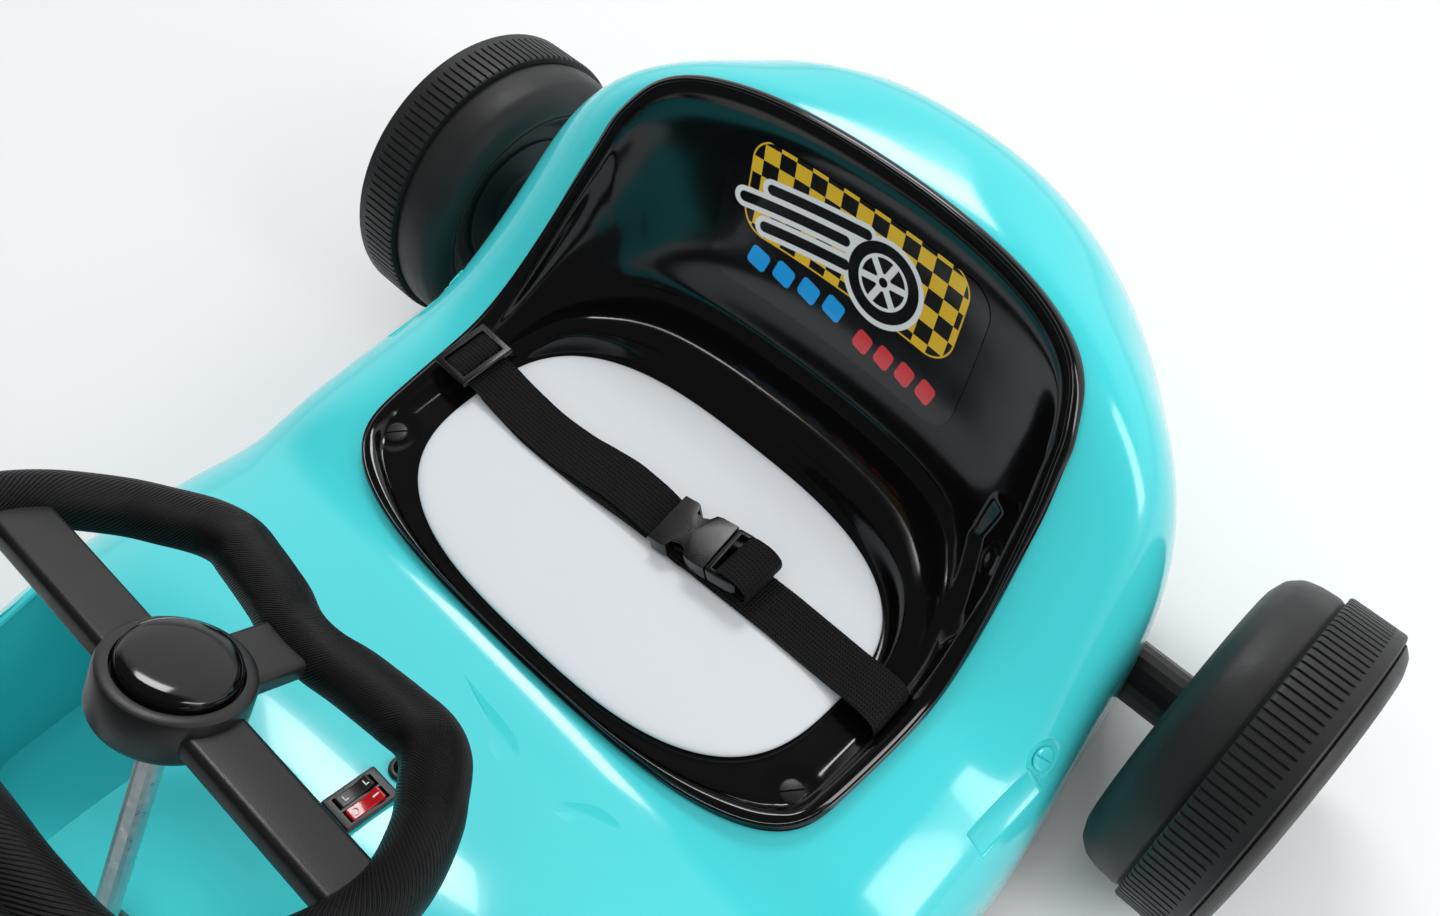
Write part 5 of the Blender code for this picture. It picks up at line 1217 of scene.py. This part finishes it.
n = Nodes("zinc_plated_steel")
zinc_dark, zinc_light = (0.5, 0.51, 0.53, 1), (0.64, 0.65, 0.66, 1)
n.feed("Base Color", n.blend(n.noise(45.0, 4.0), zinc_dark, zinc_light))
n.feed("Metallic", 1.0)
n.feed("Roughness", n.spread(n.noise(320.0, 4.0), 0.26, 0.44, 0.3, 0.7))
n.bump(n.noise(900.0, 2.0), 0.08, 0.0003)
zinc = n.material
case_grey = plastic("dark_grey_case", (0.055, 0.056, 0.06), 0.45, 0.06, grain=0.3, grain_size=1100.0)
for name, made in frame["nodes"].items():
    if made.hide_render:
        continue
    part_slot = next(s["material_slot"] for s in frame["record"]["subparts"] if s["node"] == name)
    finish = {"zinc_steel": zinc, "dark_grey_case": case_grey}.get(part_slot, satin_black)
    made.data.materials.clear()
    made.data.materials.append(finish)


# Studio. A pale sheet underneath, an even room that mirrors darker overhead, a soft lamp behind the seat,
# one at the driver's left and a broad one above, and the camera over the cowl looking down into the seat.

bpy.ops.mesh.primitive_plane_add(size=30, location=(0, 0, 0))
floor = bpy.context.object
floor.name = "studio_floor"
n = Nodes("pale_floor")
pale = n.blend(n.noise(2.0), (0.92, 0.925, 0.93, 1), (0.93, 0.935, 0.94, 1))
dark_front, dark_end = (0.1, 0.1, 0.105, 1), (-2.2, -0.9)
n.feed("Base Color", n.blend(n.spread(n.axes()["Y"], 0.0, 1.0, *dark_end), dark_front, pale))
n.feed("Roughness", 0.7)
dress(floor, n.material)

n = Nodes("studio_room", bpy.data.worlds, "Background")
bpy.context.scene.world = n.material
axes = n.axes("Generated")
ramp = n.tree.nodes.new("ShaderNodeValToRGB")
n.put(ramp.inputs["Fac"], n.calc("MULTIPLY_ADD", axes["Y"], -0.8, axes["Z"]))
for stop, (position, shade) in zip(ramp.color_ramp.elements, ((0.06, (0.95, 0.96, 0.97, 1)),
                                                              (0.42, (0.07, 0.072, 0.075, 1)))):
    stop.position, stop.color = position, shade
ray = n.tree.nodes.new("ShaderNodeLightPath")
n.feed("Color", n.blend(ray.outputs["Is Glossy Ray"], (0.55, 0.555, 0.56, 1), ramp.outputs["Color"]))
n.feed("Strength", 1.0)


def softbox(name, place, size, power):
    """A rectangular lamp that shines on the seat."""
    bpy.ops.object.light_add(type="AREA", location=place)
    lamp = bpy.context.object
    lamp.name = name
    lamp.data.shape = "RECTANGLE"
    lamp.data.size, lamp.data.size_y = size
    lamp.data.energy = power
    lamp.rotation_mode = "QUATERNION"
    lamp.rotation_quaternion = (Vector((0, 0.2, 0.15)) - Vector(place)).to_track_quat("-Z", "Y")


softbox("back_box", (-0.78, 1.3, 1.9), (0.85, 0.45), 16)
softbox("left_box", (1.7, 0.5, 1.1), (0.4, 1.4), 12)
softbox("fill_box", (0.35, 0.0, 2.2), (1.6, 1.6), 8)
bpy.context.object.visible_glossy = False

bpy.ops.object.camera_add(location=(0.2676, -0.0004, 0.7424))
camera = bpy.context.object
camera.rotation_mode = "QUATERNION"
camera.rotation_quaternion = Matrix(((0.7196, -0.5799, 0.382), (0.6944, 0.6025, -0.3934),
                                     (-0.002, 0.5483, 0.8363))).to_quaternion()
camera.data.sensor_width = 36
camera.data.lens = 34.975
camera.data.clip_start = 0.01
bpy.context.scene.camera = camera
bpy.context.scene.view_settings.view_transform = "Standard"
